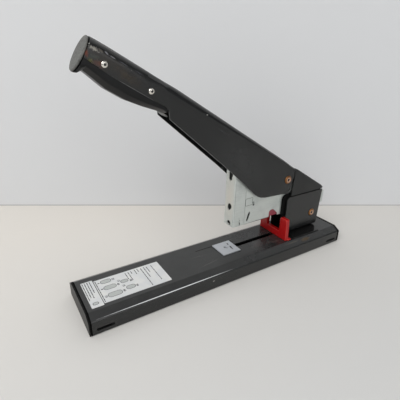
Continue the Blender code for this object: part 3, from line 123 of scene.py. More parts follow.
def addMark(tree, place, colour, rough, ownValues):
    # One patch of wear, stain, painted light or painted shade: a soft oval with a ragged rim, over the colour
    # and roughness so far
    mark = {**markDefaults, **ownValues}
    oval = addNode(tree, "ShaderNodeMapping", {
        "Vector": place, "Location": [c * mm for c in mark["at"]], "Scale": [s * mm for s in mark["size"]],
        "Rotation": [math.radians(a) for a in mark["turn"]]}, vector_type="TEXTURE")
    reach = addNode(tree, "ShaderNodeVectorMath", {0: oval.outputs["Vector"]}, operation="LENGTH")
    rim = addNode(tree, "ShaderNodeTexNoise", {
        "Vector": place, "Scale": perSize(mark["grain"]), "Detail": 5.0, "Roughness": 0.7})
    edge = addNode(tree, "ShaderNodeMath", {
        0: rim.outputs["Fac"], 1: mark["ragged"], 2: reach.outputs["Value"]}, operation="MULTIPLY_ADD")
    outer = 1.0 + noiseMean * mark["ragged"]
    cover = addNode(tree, "ShaderNodeMapRange", {
        "Value": edge.outputs[0], "From Min": outer - mark["soft"], "From Max": outer,
        "To Min": mark["strength"], "To Max": 0.0})
    colour = layColour(tree, colour, mark["colour"], cover.outputs["Result"])
    if "rough" in mark:
        rough = layValue(tree, rough, mark["rough"], cover.outputs["Result"])
    return colour, rough


# Stoved black enamel on pressed steel: half glossy, hazy with dust on what faces up, rubbed along its length
baseEnamel = {
    "colour": "#1d1e1e",
    "dusty": "#3b3b3a",
    "dust": 0.75,                    # how much of the haze shows on a level face
    "dustFrom": (60.0, -20.0),       # X in mm where the wiped rear turns into the dusty front
    "rough": (0.20, 0.40),           # clean, dusty
    "specks": "#6b6a66",
    "shine": 0.5,
}
evenDust = (400.0, 300.0)            # a dustFrom past the object: the same dust all over
frameEnamel = {**baseEnamel, "dusty": "#343434", "dust": 0.3, "dustFrom": evenDust, "rough": (0.22, 0.34)}
handleEnamel = {**frameEnamel, "colour": "#161717", "dusty": "#2f2f2e", "dust": 0.35, "rough": (0.24, 0.36)}
enamelPatterns = {
    "haze": 12.5,                    # size of the dusty blotches, in mm
    "hazeFrom": (0.3, 0.7),          # noise from and to
    "hazeShare": (0.55, 1.0),        # dust between and in the blotches
    "upward": (0.2, 1.0),            # from which slope on dust lies, and where it is full
    "rearShare": 0.5,                # dust that is left at the rear
    "streaks": (55.6, 0.526, 0.526), # length and spacing of the rubbing, in mm, as coarse as it needs to show
    "streaksFrom": (0.56, 0.75),
    "streaksShow": 0.35,
    "grit": 0.909,                   # dust grains, real ones near 0.1 mm, drawn larger so that they show
    "gritFrom": (0.71, 0.76),
    "chips": 4.55,                   # size of the chips on the folds, in mm
    "chipsFrom": (0.50, 0.72),
    "chipsShow": 0.75,
    "bare": "#77756f",
    "peel": 0.04,                    # strength of the fine orange peel
    "peelHeight": 0.2,
}
baseMarks = [
    # painted highlight lines along the bends, the near one brightest in the middle
    {"at": (-71, -28.4, 14.2), "size": (70, 0.42, 0.42), "colour": "#e6e8e8", "strength": 1.0,
     "ragged": 0.4, "soft": 0.45, "grain": 4.0, "rough": 0.3},
    {"at": (-50, 28.35, 14.25), "size": (80, 0.5, 0.45), "colour": "#8a8b8a", "strength": 0.7,
     "ragged": 0.7, "soft": 0.8, "grain": 3.33},
    # dull scrapes near the anvil and a chip on the near side
    {"at": (-24, -13.5, 17.8), "size": (12, 0.6, 1.0), "turn": (0, 0, 8), "colour": "#5c5b57",
     "strength": 0.6, "ragged": 2.5, "grain": 1.11},
    {"at": (-27, 1.5, 17.8), "size": (9, 0.5, 1.0), "turn": (0, 0, -4), "colour": "#5c5b57",
     "strength": 0.55, "ragged": 2.0, "grain": 1.11},
    {"at": (-30, -29.4, 9.3), "size": (1.4, 1.0, 0.7), "colour": "#9a9892", "strength": 0.9, "grain": 1.11},
    # painted shade: black insides of the side slots
    {"at": (-132, -29.0, 5.0), "size": (6.9, 2.2, 1.5), "colour": "#050505", "strength": 1.0,
     "ragged": 0.1, "soft": 0.15, "rough": 0.7},
    {"at": (132, -29.0, 5.0), "size": (6.9, 2.2, 1.5), "colour": "#050505", "strength": 1.0,
     "ragged": 0.1, "soft": 0.15, "rough": 0.7},
    # rust at the worn rear shoulder
    {"at": (93, -25.8, 16.0), "size": (7.5, 2.4, 1.6), "colour": "#503e22", "strength": 0.7,
     "ragged": 3.0, "grain": 1.43, "rough": 0.6},
    {"at": (74, -24.5, 16.6), "size": (12, 0.7, 1.0), "colour": "#5a544a", "strength": 0.5,
     "ragged": 2.2, "grain": 1.25},
    # smears beside the guide's slot
    {"at": (38, -9.0, 17.8), "size": (11, 4.5, 1.0), "turn": (0, 0, 35), "colour": "#4a4644",
     "strength": 0.5, "ragged": 2.6, "grain": 1.43, "rough": 0.35},
    {"at": (56, -14.0, 17.8), "size": (9, 2.5, 1.0), "turn": (0, 0, -20), "colour": "#4a4440",
     "strength": 0.45, "ragged": 2.6, "grain": 1.43},
]
handleMarks = [
    # painted light: the broad rear of the side paler, where it is lit brighter
    {"at": (8, -11.1, 112.0), "size": (46, 3, 24), "turn": (0, 38, 0), "colour": "#2b2c2c",
     "strength": 0.85, "soft": 1.1, "ragged": 0.9, "grain": 22.2},
    # brown bloom over the front third, where it is held
    {"at": (-95, -11.1, 189.0), "size": (15, 3, 5.0), "turn": (0, 38, 0), "colour": "#33291a",
     "strength": 0.75, "soft": 1.2, "ragged": 2.2, "grain": 5.56},
    {"at": (-108, -11.1, 196.5), "size": (11, 3, 7.0), "turn": (0, 38, 0), "colour": "#2c2418",
     "strength": 0.75, "soft": 1.2, "ragged": 2.2, "grain": 4.55},
    {"at": (-107, -7.0, 207.0), "size": (12, 3, 2.2), "turn": (0, 32, 0), "colour": "#3a342a",
     "strength": 0.7, "soft": 1.0, "ragged": 1.8, "grain": 5.0},
    # old rust and lacquer at the front end
    {"at": (-118.3, -11.1, 197.8), "size": (2.2, 3, 2.6), "colour": "#57561c", "soft": 1.0,
     "ragged": 2.6, "grain": 1.92},
    {"at": (-115.8, -11.1, 200.4), "size": (4.4, 3, 2.0), "colour": "#2a3028", "soft": 0.9,
     "ragged": 2.4, "grain": 2.38},
    {"at": (-120.1, -11.0, 203.2), "size": (1.5, 3, 3.6), "colour": "#6b3320", "strength": 0.85,
     "soft": 0.8, "ragged": 2.0, "grain": 1.92, "rough": 0.65},
    {"at": (-113.6, -11.1, 196.7), "size": (4.8, 3, 2.4), "turn": (0, 24, 0), "colour": "#5a3020",
     "strength": 0.85, "soft": 1.0, "ragged": 2.6, "grain": 2.38, "rough": 0.6},
    {"at": (-114.2, -11.1, 202.6), "size": (4.0, 3, 1.6), "turn": (0, 24, 0), "colour": "#150f0b",
     "strength": 0.9, "ragged": 3.0, "grain": 1.43},
    # bare steel at the front corner
    {"at": (-117.8, -10.6, 208.3), "size": (0.9, 3, 0.8), "colour": "#d8d5ce", "strength": 1.0,
     "grain": 1.11, "rough": 0.35},
    {"at": (-115.1, -10.8, 205.3), "size": (3.6, 3, 1.4), "turn": (0, 30, 0), "colour": "#98948b",
     "strength": 0.95, "soft": 0.8, "ragged": 3.2, "grain": 1.25, "rough": 0.4},
    {"at": (-110.7, -10.8, 204.0), "size": (2.2, 3, 0.8), "turn": (0, 40, 0), "colour": "#5a554e",
     "ragged": 2.4, "grain": 1.43},
    # painted reflection streaks along the foot of the arch, fading towards the rear
    {"at": (-106.8, -10.8, 202.4), "size": (1.9, 3, 0.55), "turn": (0, 50, 0), "colour": "#85868a",
     "ragged": 1.6, "grain": 1.67},
    {"at": (-103.2, -10.8, 200.0), "size": (2.8, 3, 0.4), "turn": (0, 30, 0), "colour": "#808185",
     "strength": 0.75, "ragged": 1.4, "grain": 1.67},
    {"at": (-96.4, -10.8, 196.2), "size": (4.0, 3, 0.4), "turn": (0, 30, 0), "colour": "#55565a",
     "strength": 0.7, "ragged": 2.0, "grain": 1.67},
    {"at": (-85.6, -10.8, 190.2), "size": (4.5, 3, 0.5), "turn": (0, 32, 0), "colour": "#3e3f43",
     "strength": 0.6, "ragged": 2.2},
    # a chip and a scrape half-way along
    {"at": (-30.1, -11.1, 157.7), "size": (0.9, 2, 0.45), "colour": "#a9a8a4", "strength": 1.0,
     "ragged": 0.4},
    {"at": (-14, -11.1, 142.5), "size": (7, 2, 0.5), "turn": (0, 30, 0), "colour": "#37383a",
     "strength": 0.6, "ragged": 2.0, "grain": 2.5},
    # painted highlight along the lower edge over the grip, and a pale patch inside the far wall behind it
    {"at": (-83.7, -11.1, 176.0), "size": (26, 1, 0.22), "turn": (0, 30.5, 0), "colour": "#8c8d8d",
     "strength": 0.6},
    {"at": (-59.2, 9.6, 157.2), "size": (5.4, 1.4, 1.0), "turn": (0, 28, 0), "colour": "#d5d5d4",
     "strength": 1.0, "ragged": 0.3, "soft": 0.3, "rough": 0.35},
]


def makeEnamel(name, look, marks=(), edge=False):
    values = enamelPatterns
    material, tree, shader = newMaterial(name, {"IOR": 1.5, "Specular IOR Level": look["shine"]})
    place = addNode(tree, "ShaderNodeTexCoord").outputs["Object"]
    # handling haze where the surface faces up, thinner at the rear
    haze = addNode(tree, "ShaderNodeTexNoise", {
        "Vector": place, "Scale": perSize(values["haze"]), "Detail": 5.0, "Roughness": 0.6})
    hazy = addNode(tree, "ShaderNodeMapRange", {
        "Value": haze.outputs["Fac"], "From Min": values["hazeFrom"][0], "From Max": values["hazeFrom"][1],
        "To Min": values["hazeShare"][0], "To Max": values["hazeShare"][1]})
    normal = addNode(tree, "ShaderNodeNewGeometry").outputs["Normal"]
    upward = addNode(tree, "ShaderNodeSeparateXYZ", {"Vector": normal}).outputs["Z"]
    level = addNode(tree, "ShaderNodeMapRange", {
        "Value": upward, "From Min": values["upward"][0], "From Max": values["upward"][1],
        "To Min": 0.0, "To Max": look["dust"]})
    along = addNode(tree, "ShaderNodeSeparateXYZ", {"Vector": place}).outputs["X"]
    front = addNode(tree, "ShaderNodeMapRange", {
        "Value": along, "From Min": look["dustFrom"][0] * mm, "From Max": look["dustFrom"][1] * mm,
        "To Min": values["rearShare"], "To Max": 1.0})
    some = addNode(tree, "ShaderNodeMath", {
        0: hazy.outputs["Result"], 1: level.outputs["Result"]}, operation="MULTIPLY")
    dust = addNode(tree, "ShaderNodeMath", {
        0: some.outputs[0], 1: front.outputs["Result"]}, operation="MULTIPLY").outputs[0]
    colour = layColour(tree, look["colour"], look["dusty"], dust)
    # rubbing streaks along the length
    streaks = addNode(tree, "ShaderNodeMapping", {
        "Vector": place, "Scale": [perSize(size) for size in values["streaks"]]})
    rub = addNode(tree, "ShaderNodeTexNoise", {
        "Vector": streaks.outputs["Vector"], "Scale": 1.0, "Detail": 3.0})
    rubbed = addNode(tree, "ShaderNodeMapRange", {
        "Value": rub.outputs["Fac"], "From Min": values["streaksFrom"][0],
        "From Max": values["streaksFrom"][1], "To Max": values["streaksShow"]})
    colour = layColour(tree, colour, look["dusty"], rubbed.outputs["Result"])
    # sparse dust grains
    grit = addNode(tree, "ShaderNodeTexNoise", {
        "Vector": place, "Scale": perSize(values["grit"]), "Detail": 2.0, "Roughness": 0.7})
    specks = addNode(tree, "ShaderNodeMapRange", {
        "Value": grit.outputs["Fac"], "From Min": values["gritFrom"][0], "From Max": values["gritFrom"][1]})
    colour = layColour(tree, colour, look["specks"], specks.outputs["Result"])
    if edge:
        # enamel thinned and chipped on the folds
        thin = addNode(tree, "ShaderNodeTexNoise", {
            "Vector": place, "Scale": perSize(values["chips"]), "Detail": 6.0, "Roughness": 0.7})
        chipped = addNode(tree, "ShaderNodeMapRange", {
            "Value": thin.outputs["Fac"], "From Min": values["chipsFrom"][0],
            "From Max": values["chipsFrom"][1], "To Max": values["chipsShow"]})
        colour = layColour(tree, colour, values["bare"], chipped.outputs["Result"])
    rough = layValue(tree, look["rough"][0], look["rough"][1], dust)
    for mark in marks:
        colour, rough = addMark(tree, place, colour, rough, mark)
    tree.links.new(colour, shader.inputs["Base Color"])
    tree.links.new(rough, shader.inputs["Roughness"])
    peel = addNode(tree, "ShaderNodeBump", {
        "Height": grit.outputs["Fac"], "Strength": values["peel"], "Distance": values["peelHeight"] * mm})
    tree.links.new(peel.outputs["Normal"], shader.inputs["Normal"])
    return material


# Bright zinc on cold-rolled strip: pale and satin, faintly streaked along the sheet, greyer at handled spots
zincPlate = {
    "colour": "#ccd1cd",
    "dull": "#a9aeac",
    "metallic": 0.55,
    "rough": 0.38,
}
platingPatterns = {
    "streaks": (25.0, 2.0, 0.769),   # size of the rolling marks along X, Y and Z, in mm, drawn to show
    "streaksFrom": (0.55, 0.8),
    "streaksShow": 0.4,
    "blotch": 15.4,                  # size of the dull patches, in mm
    "blotchFrom": (0.5, 0.75),
    "blotchShow": 0.6,
    "roughSpread": (-0.06, 0.10),
    "grain": 0.03,                   # strength of the rolling marks' relief
    "grainHeight": 0.1,
}
noseMarks = [
    # painted warm light on the front, and a painted shade line beside its fold
    {"at": (5.0, 0.0, 74), "size": (1.0, 9, 30), "colour": "#d3c9be", "strength": 0.5, "soft": 0.9,
     "ragged": 0.4},
    {"at": (6.2, -7.6, 74), "size": (0.35, 1.2, 30), "colour": "#777b78", "strength": 0.75,
     "ragged": 0.5, "soft": 0.9, "grain": 2.5},
    # painted shade widening the dark of the peepholes and the top notch, and darker marks at the side slit
    {"at": (5.0, -1.2, 66.0), "size": (1.6, 3.0, 3.2), "colour": "#0d0d0d", "strength": 1.0,
     "ragged": 0.2, "soft": 0.25, "rough": 0.6},
    {"at": (5.0, -1.2, 48.2), "size": (1.6, 2.8, 2.6), "colour": "#161514", "strength": 1.0,
     "ragged": 0.5, "soft": 0.25, "rough": 0.6},
    {"at": (5.0, -1.0, 98.5), "size": (1.6, 2.6, 3.6), "colour": "#0d0d0d", "strength": 1.0,
     "ragged": 0.2, "soft": 0.25, "rough": 0.6},
    {"at": (13.1, -7.6, 47.3), "size": (0.75, 1.4, 2.3), "colour": "#2b2c2b", "strength": 1.0, "ragged": 0.2},
    {"at": (13.1, -7.6, 50.8), "size": (0.7, 1.4, 0.6), "colour": "#5b5e5c", "strength": 0.9, "ragged": 0.4},
]
magazineMarks = [
    # two small dark spots beside the stamped frame
    {"at": (29.4, -7.6, 64.7), "size": (1.4, 1, 1.4), "colour": "#0c0c0c", "strength": 1.0,
     "ragged": 0.2, "soft": 0.3},
    {"at": (29.1, -7.6, 67.2), "size": (1.2, 1, 0.9), "colour": "#2c2d2c", "strength": 1.0,
     "ragged": 0.2, "soft": 0.3},
    # painted shade around the slanted slot, widening its dark
    {"at": (23.6, -7.6, 52.9), "size": (1.35, 1.6, 5.7), "turn": (0, 14.5, 0), "colour": "#101010",
     "strength": 1.0, "ragged": 0.2, "soft": 0.25, "rough": 0.6},
    # painted shade along the rolled-in lower edge
    {"at": (42, -7.6, 45.1), "size": (28, 1.2, 0.7), "colour": "#3f3b39", "strength": 0.95, "ragged": 0.4},
    # greener and greyer patches of the zinc
    {"at": (30, -7.6, 68.5), "size": (11, 1, 8), "colour": "#aab2ae", "strength": 0.4, "soft": 0.9,
     "grain": 6.25},
    {"at": (70, -7.6, 60.0), "size": (30, 1, 7), "colour": "#a3b0aa", "strength": 0.35, "soft": 0.9,
     "grain": 11.1},
]
anvilMarks = [
    # plain dark marks, worn uneven
    {"at": (9.2, -2.2, 18.7), "size": (1.0, 4.2, 0.8), "colour": "#1d1d1e", "strength": 1.0, "ragged": 0.5},
    {"at": (9.9, 5.2, 18.7), "size": (0.9, 2.0, 0.8), "colour": "#39393b", "strength": 0.95,
     "ragged": 1.4, "grain": 1.11},
    {"at": (3.4, 0.9, 18.9), "size": (1.5, 1.9, 0.8), "colour": "#55565a", "strength": 0.9,
     "ragged": 2.0, "grain": 1.11},
    {"at": (4.6, -1.0, 18.9), "size": (0.8, 0.9, 0.8), "colour": "#242527", "strength": 1.0, "ragged": 0.4},
]


def makePlating(name, look, marks=()):
    values = platingPatterns
    material, tree, shader = newMaterial(name, {"Metallic": look["metallic"]})
    place = addNode(tree, "ShaderNodeTexCoord").outputs["Object"]
    stretched = addNode(tree, "ShaderNodeMapping", {
        "Vector": place, "Scale": [perSize(size) for size in values["streaks"]]})
    grain = addNode(tree, "ShaderNodeTexNoise", {
        "Vector": stretched.outputs["Vector"], "Scale": 1.0, "Detail": 4.0})
    blotch = addNode(tree, "ShaderNodeTexNoise", {
        "Vector": place, "Scale": perSize(values["blotch"]), "Detail": 4.0, "Roughness": 0.6})
    dulled = addNode(tree, "ShaderNodeMapRange", {
        "Value": blotch.outputs["Fac"], "From Min": values["blotchFrom"][0],
        "From Max": values["blotchFrom"][1], "To Max": values["blotchShow"]})
    colour = layColour(tree, look["colour"], look["dull"], dulled.outputs["Result"])
    lines = addNode(tree, "ShaderNodeMapRange", {
        "Value": grain.outputs["Fac"], "From Min": values["streaksFrom"][0],
        "From Max": values["streaksFrom"][1], "To Max": values["streaksShow"]})
    colour = layColour(tree, colour, look["dull"], lines.outputs["Result"])
    rough = addNode(tree, "ShaderNodeMapRange", {
        "Value": blotch.outputs["Fac"], "To Min": look["rough"] + values["roughSpread"][0],
        "To Max": look["rough"] + values["roughSpread"][1]}).outputs[0]
    for mark in marks:
        colour, rough = addMark(tree, place, colour, rough, mark)
    tree.links.new(colour, shader.inputs["Base Color"])
    tree.links.new(rough, shader.inputs["Roughness"])
    bump = addNode(tree, "ShaderNodeBump", {
        "Height": grain.outputs["Fac"], "Strength": values["grain"], "Distance": values["grainHeight"] * mm})
    tree.links.new(bump.outputs["Normal"], shader.inputs["Normal"])
    return material


# Injection-moulded plastic: even colour, fine spark-eroded grain, a little paler where handled
mouldedPlastic = {
    "rough": 0.34,
    "shine": 0.5,
    "bump": 0.05,                    # strength of the grain's relief
}
plasticPatterns = {
    "patch": 9.09,                   # size of the handled patches, in mm
    "patchFrom": (0.4, 0.75),
    "roughSpread": (-0.05, 0.08),
    "grain": 1.11,                   # real grain is near 0.1 mm, drawn larger so that it shows
    "grainHeight": 0.2,
    "speckleFrom": (0.52, 0.66),
    "speckleShow": 0.8,
}


def makePlastic(name, ownLook):
    look, values = {**mouldedPlastic, **ownLook}, plasticPatterns
    material, tree, shader = newMaterial(name, {"IOR": 1.5, "Specular IOR Level": look["shine"]})
    place = addNode(tree, "ShaderNodeTexCoord").outputs["Object"]
    patch = addNode(tree, "ShaderNodeTexNoise", {
        "Vector": place, "Scale": perSize(values["patch"]), "Detail": 4.0})
    grain = addNode(tree, "ShaderNodeTexNoise", {
        "Vector": place, "Scale": perSize(values["grain"]), "Detail": 2.0})
    fade = addNode(tree, "ShaderNodeMapRange", {
        "Value": patch.outputs["Fac"], "From Min": values["patchFrom"][0],
        "From Max": values["patchFrom"][1]})
    colour = layColour(tree, look["colour"], look["pale"], fade.outputs["Result"])
    rough = addNode(tree, "ShaderNodeMapRange", {
        "Value": patch.outputs["Fac"], "To Min": look["rough"] + values["roughSpread"][0],
        "To Max": look["rough"] + values["roughSpread"][1]}).outputs[0]
    if "speckle" in look:
        dots = addNode(tree, "ShaderNodeMapRange", {
            "Value": grain.outputs["Fac"], "From Min": values["speckleFrom"][0],
            "From Max": values["speckleFrom"][1], "To Max": values["speckleShow"]})
        colour = layColour(tree, colour, look["speckle"], dots.outputs["Result"])
    tree.links.new(colour, shader.inputs["Base Color"])
    tree.links.new(rough, shader.inputs["Roughness"])
    bump = addNode(tree, "ShaderNodeBump", {
        "Height": grain.outputs["Fac"], "Strength": look["bump"], "Distance": values["grainHeight"] * mm})
    tree.links.new(bump.outputs["Normal"], shader.inputs["Normal"])
    return material


enamel = makeEnamel("stovedEnamelBase", baseEnamel, baseMarks)
enamelEdge = makeEnamel("stovedEnamelBaseFolds", baseEnamel, baseMarks, edge=True)
framePaint = makeEnamel("stovedEnamelFrame", frameEnamel)
framePaintEdge = makeEnamel("stovedEnamelFrameFolds", frameEnamel, edge=True)
handlePaint = makeEnamel("stovedEnamelHandle", handleEnamel, handleMarks)
handlePaintEdge = makeEnamel("stovedEnamelHandleFolds", handleEnamel, handleMarks, edge=True)
# Blackened steel: dull, nearly no shine
blacking = makeEnamel("blackenedSteel", {
    **frameEnamel, "colour": "#0c0c0c", "dusty": "#1a1a1a", "dust": 0.2, "rough": (0.5, 0.6),
    "specks": "#2a2a2a", "shine": 0.05})
# The foot plate's enamel: deeper black with a sharper gloss; its black is also painted shade, standing for the
# frame's contact shade on the base around its foot
footPaint = makeEnamel("stovedEnamelFoot", {
    **frameEnamel, "colour": "#101010", "dusty": "#232323", "rough": (0.14, 0.26)})

zinc = makePlating("zincPlate", zincPlate)
magazineZinc = makePlating("zincPlateMagazine", zincPlate, magazineMarks)
noseZinc = makePlating("zincPlateNose", zincPlate, noseMarks)
# Pressed into the zinc, where dirt keeps it a darker grey
pressedZinc = makePlating("pressedZinc", {**zincPlate, "colour": "#7e8380", "dull": "#686c6a"})
# The anvil's zinc is bluer and flatter
anvilZinc = makePlating("zincPlateAnvil", {**zincPlate, "colour": "#c3c6ca", "dull": "#9b9ea3"}, anvilMarks)
# Hardened, oiled steel inside the nose: dark grey with a low shine, made darker still as painted shade, since it
# is seen in shade through the nose's holes and slots
oiledSteel = makePlating("oiledBladeSteel", {
    "colour": "#131414", "dull": "#0a0a0a", "metallic": 0.7, "rough": 0.4})
# Drawn wire and turned pins: bright, with a long soft gleam
brightSteel = makePlating("drawnSteel", {
    "colour": "#d0d1d2", "dull": "#9a9b9d", "metallic": 0.9, "rough": 0.26})
# Nickel on domed heads: a warm mirror
nickel = makePlating("nickelPlatedRivet", {
    "colour": "#e6e2da", "dull": "#b9b3a8", "metallic": 1.0, "rough": 0.13})
# Spring wire tempered in oil: middle grey, half bright
springSteel = makePlating("oilTemperedWire", {
    "colour": "#6f7072", "dull": "#4a4b4d", "metallic": 0.9, "rough": 0.3})
# Copper-flashed brass of the tubular rivets: warm ring, paler and pinker where it was clenched
brass = makePlating("copperedBrass", {
    "colour": "#96683f", "dull": "#63402a", "metallic": 0.9, "rough": 0.30})
brassPale = makePlating("copperedBrassWorn", {
    "colour": "#c9a893", "dull": "#94705b", "metallic": 0.85, "rough": 0.34})

# The guide's glossy red ABS, paler where its edges catch the light
redPlastic = makePlastic("redMouldedPlastic", {
    "colour": "#9c0a0d", "pale": "#aa1414", "rough": 0.28, "shine": 0.4})
redEdge = makePlastic("redMouldedPlasticEdge", {"colour": "#bb2420", "pale": "#cb3f36"})
# The pusher's faded red acetal, waxy and greyer
pusherPlastic = makePlastic("redPusherPlastic", {"colour": "#8a3642", "pale": "#9a4a54", "rough": 0.42})
# Matt black that paints shade: the gaps beside the end caps, the handle's rear corner across its gap from the
# frame, the rims round the base's side slots and the leaves behind seams and slots
paintedShadeBlack = makePlastic("mattBlackPaintedShade", {
    "colour": "#070707", "pale": "#0c0c0b", "rough": 0.6, "shine": 0.06})
# The end caps' ABS, a brownish black, with a duller rim
capRim = makePlastic("blackCapRim", {"colour": "#0e0e0d", "pale": "#161613", "rough": 0.5, "shine": 0.2})
capPlastic = makePlastic("blackCapPlastic", {
    "colour": "#11100f", "pale": "#1c1b17", "rough": 0.42, "shine": 0.3})
# The grip's polypropylene: smooth, deep black, rubbed to a soft sheen
gripPlastic = makePlastic("blackGripPlastic", {
    "colour": "#090a0b", "pale": "#101112", "bump": 0.03, "shine": 0.28})
# The grip's end: grey plastic from a sand-blasted mould, matt and coarsely grained
insertPlastic = makePlastic("greyInsertPlastic", {
    "colour": "#636360", "pale": "#70706c", "rough": 0.55, "bump": 0.3, "shine": 0.3, "speckle": "#3f3f3c"})
# The rear cover's satin ABS, a touch paler than the enamel
coverPlastic = makePlastic("blackCoverPlastic", {
    "colour": "#191a1a", "pale": "#222322", "rough": 0.38, "shine": 0.4})
# Feet: dead matt rubber
rubber = makePlastic("footRubber", {"colour": "#161616", "pale": "#222222", "rough": 0.85, "bump": 0.15})
print("materials made")


def finishPiece(name, mesh, materials, body, stoodFor=(), smooth=34.0):
    # Links a piece, shades it smooth up to an angle in degrees, sets its body and hides the nodes it stands for
    piece = bpy.data.objects.new(name, mesh)
    bpy.context.scene.collection.objects.link(piece)
    for material in materials:
        mesh.materials.append(material)
    mesh.shade_smooth()
    mesh.set_sharp_from_angle(angle=math.radians(smooth))
    even = piece.modifiers.new("evenShading", "WEIGHTED_NORMAL")     # flats stay flat beside their rounding
    even.keep_sharp = True
    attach(piece, body)
    if stoodFor:
        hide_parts(*stoodFor)
    return piece


def meshFrom(shape, name):
    # A mesh of a finished bmesh
    mesh = bpy.data.meshes.new(name)
    shape.to_mesh(mesh)
    shape.free()
    return mesh


refining = {
    "merge": 0.01,                   # mm
    "flat": 1.0,                     # degrees under which faces are one
    "sharp": 26.0,                   # degrees over which an edge is rounded
    "cutMerge": 0.001,
}


def refineNode(nodeName, materials, width=0.3, segments=2, cuts=()):
    # A merged copy of a solid with its hard edges rounded; the rounding takes the second material, and what
    # lies beyond a cut, a point in mm with the way out, the last
    shape = bmesh.new()
    shape.from_mesh(frame["nodes"][nodeName].data)
    bmesh.ops.remove_doubles(shape, verts=shape.verts, dist=refining["merge"] * mm)
    bmesh.ops.dissolve_limit(shape, angle_limit=math.radians(refining["flat"]), verts=shape.verts,
                             edges=shape.edges)
    hard = [e for e in shape.edges
            if len(e.link_faces) == 2 and e.calc_face_angle(0) > math.radians(refining["sharp"])]
    if width > 0:
        bmesh.ops.bevel(shape, geom=hard, offset=width * mm, offset_type="OFFSET", segments=segments,
                        profile=0.5, affect="EDGES", material=1 if len(materials) > 1 else -1,
                        clamp_overlap=True)
    for point, outward in cuts:
        point, outward = Vector(point) * mm, Vector(outward)
        bmesh.ops.bisect_plane(shape, geom=[*shape.verts, *shape.edges, *shape.faces],
                               dist=refining["cutMerge"] * mm, plane_co=point, plane_no=outward)
        for face in shape.faces:
            if (face.calc_center_median() - point).dot(outward) > 0:
                face.material_index = len(materials) - 1
    mesh = meshFrom(shape, nodeName + "Skin")
    return finishPiece(nodeName + "Skin", mesh, materials, nodeBody[nodeName], [nodeName])


nodeLooks = {
    # matt black bands at the shell's ends: painted shade of the gaps beside the end caps
    "base_shell": {"materials": [enamel, enamelEdge, paintedShadeBlack],
                   "cuts": [((-142.5, 0, 0), (-1, 0, 0)), ((141.8, 0, 0), (1, 0, 0))]},
    "rear_frame": {"materials": [framePaint, framePaintEdge]},
    # the rear corner is matt black: painted shade of the gap between it and the frame
    "handle_shell": {"materials": [handlePaint, handlePaintEdge, paintedShadeBlack],
                     "cuts": [((74.9, 0, 78.5), (0.943, 0, -0.332))]},
    "base_bottom_plate": {"materials": [blacking]},
    "foot_plate": {"materials": [footPaint]},
    "guide_bracket": {"materials": [blacking]},
    "drive_arm": {"materials": [blacking]},
    "anvil_plate": {"materials": [anvilZinc], "width": 0.2},
    "magazine_body": {"materials": [magazineZinc], "width": 0.2},
    "nose_cover": {"materials": [noseZinc], "width": 0.25},
    "guide_clamp": {"materials": [oiledSteel]},
    "front_end_cap": {"materials": [capPlastic, capRim], "width": 0.4, "cuts": [((-144.6, 0, 0), (1, 0, 0))]},
    "rear_end_cap": {"materials": [capPlastic, capRim], "width": 0.4, "cuts": [((144.6, 0, 0), (-1, 0, 0))]},
    "rear_cover": {"materials": [coverPlastic], "width": 0.4},
    "paper_guide": {"materials": [redPlastic, redEdge], "width": 0.35},
    "pusher": {"materials": [pusherPlastic], "width": 0.4},
    "grip": {"materials": [gripPlastic]},
    "grip_insert": {"materials": [insertPlastic], "width": 0.35, "segments": 3},
    "tail_plug": {"materials": [capPlastic]},
}
for nodeName, look in nodeLooks.items():
    refineNode(nodeName, **look)

plainLooks = {
    "mounting_rivet_1": zinc, "mounting_rivet_2": zinc, "staple_rail": oiledSteel, "arm_crossbar": zinc,
    "staple_strip": brightSteel, "driver_blade": oiledSteel, "drive_pin": brightSteel,
    "foot_front_near": rubber, "foot_front_far": rubber, "foot_rear_near": rubber, "foot_rear_far": rubber,
}
for nodeName, look in plainLooks.items():
    node = frame["nodes"][nodeName]
    node.data.materials.clear()
    node.data.materials.append(look)
print("solids dressed")


def spinProfile(middle, near, steps):
    # A closed solid, alike at both ends, turned about Y; near runs from the end's middle inwards, and each
    # point is a radius and a height in mm
    profile = [(r, -y) for r, y in near] + [(r, y) for r, y in reversed(near)]
    shape = bmesh.new()
    points = [shape.verts.new(middle + Vector((r * mm, y * mm, 0.0))) for r, y in profile]
    edges = [shape.edges.new(pair) for pair in zip(points, points[1:])]
    bmesh.ops.spin(shape, geom=points + edges, cent=middle, axis=(0, 1, 0), dvec=(0, 0, 0),
                   angle=math.tau, steps=steps, use_merge=True)
    bmesh.ops.remove_doubles(shape, verts=shape.verts, dist=close)
    bmesh.ops.recalc_face_normals(shape, faces=shape.faces)
    return shape


def nodeMiddle(nodeName):
    lowest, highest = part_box(nodeName)
    return (Vector(lowest) + Vector(highest)) / 2


rivets = {
    # radii and heights in mm, from the middle outwards
    "hinge_pin": {"radius": 4.2, "face": 12.25, "worn": 2.7, "shank": 2.8},
    "pivot_rivet": {"radius": 4.3, "face": 12.4, "worn": 2.9, "shank": 2.6},
}
rivetForm = {
    "sheet": 11.15,                  # the plates' outer face
    "dimple": 1.25,                  # radius of the hollow end
    "floorShare": 0.7,               # of the dimple's radius
    "depths": (1.0, 0.95, 0.35),     # below the face, at the dimple's middle, floor and rim
    "lip": (0.5, 0.05),              # out from the dimple, below the face
    "shoulder": (0.7, 0.25),         # in from the radius, below the face
    "side": (0.15, 0.65),
    "foot": 0.25,                    # widest this far over the sheet
    "wornFrom": 0.35,                # pale over the sheet from here up
    "dimpleFrom": -0.15,
    "steps": 48,
}


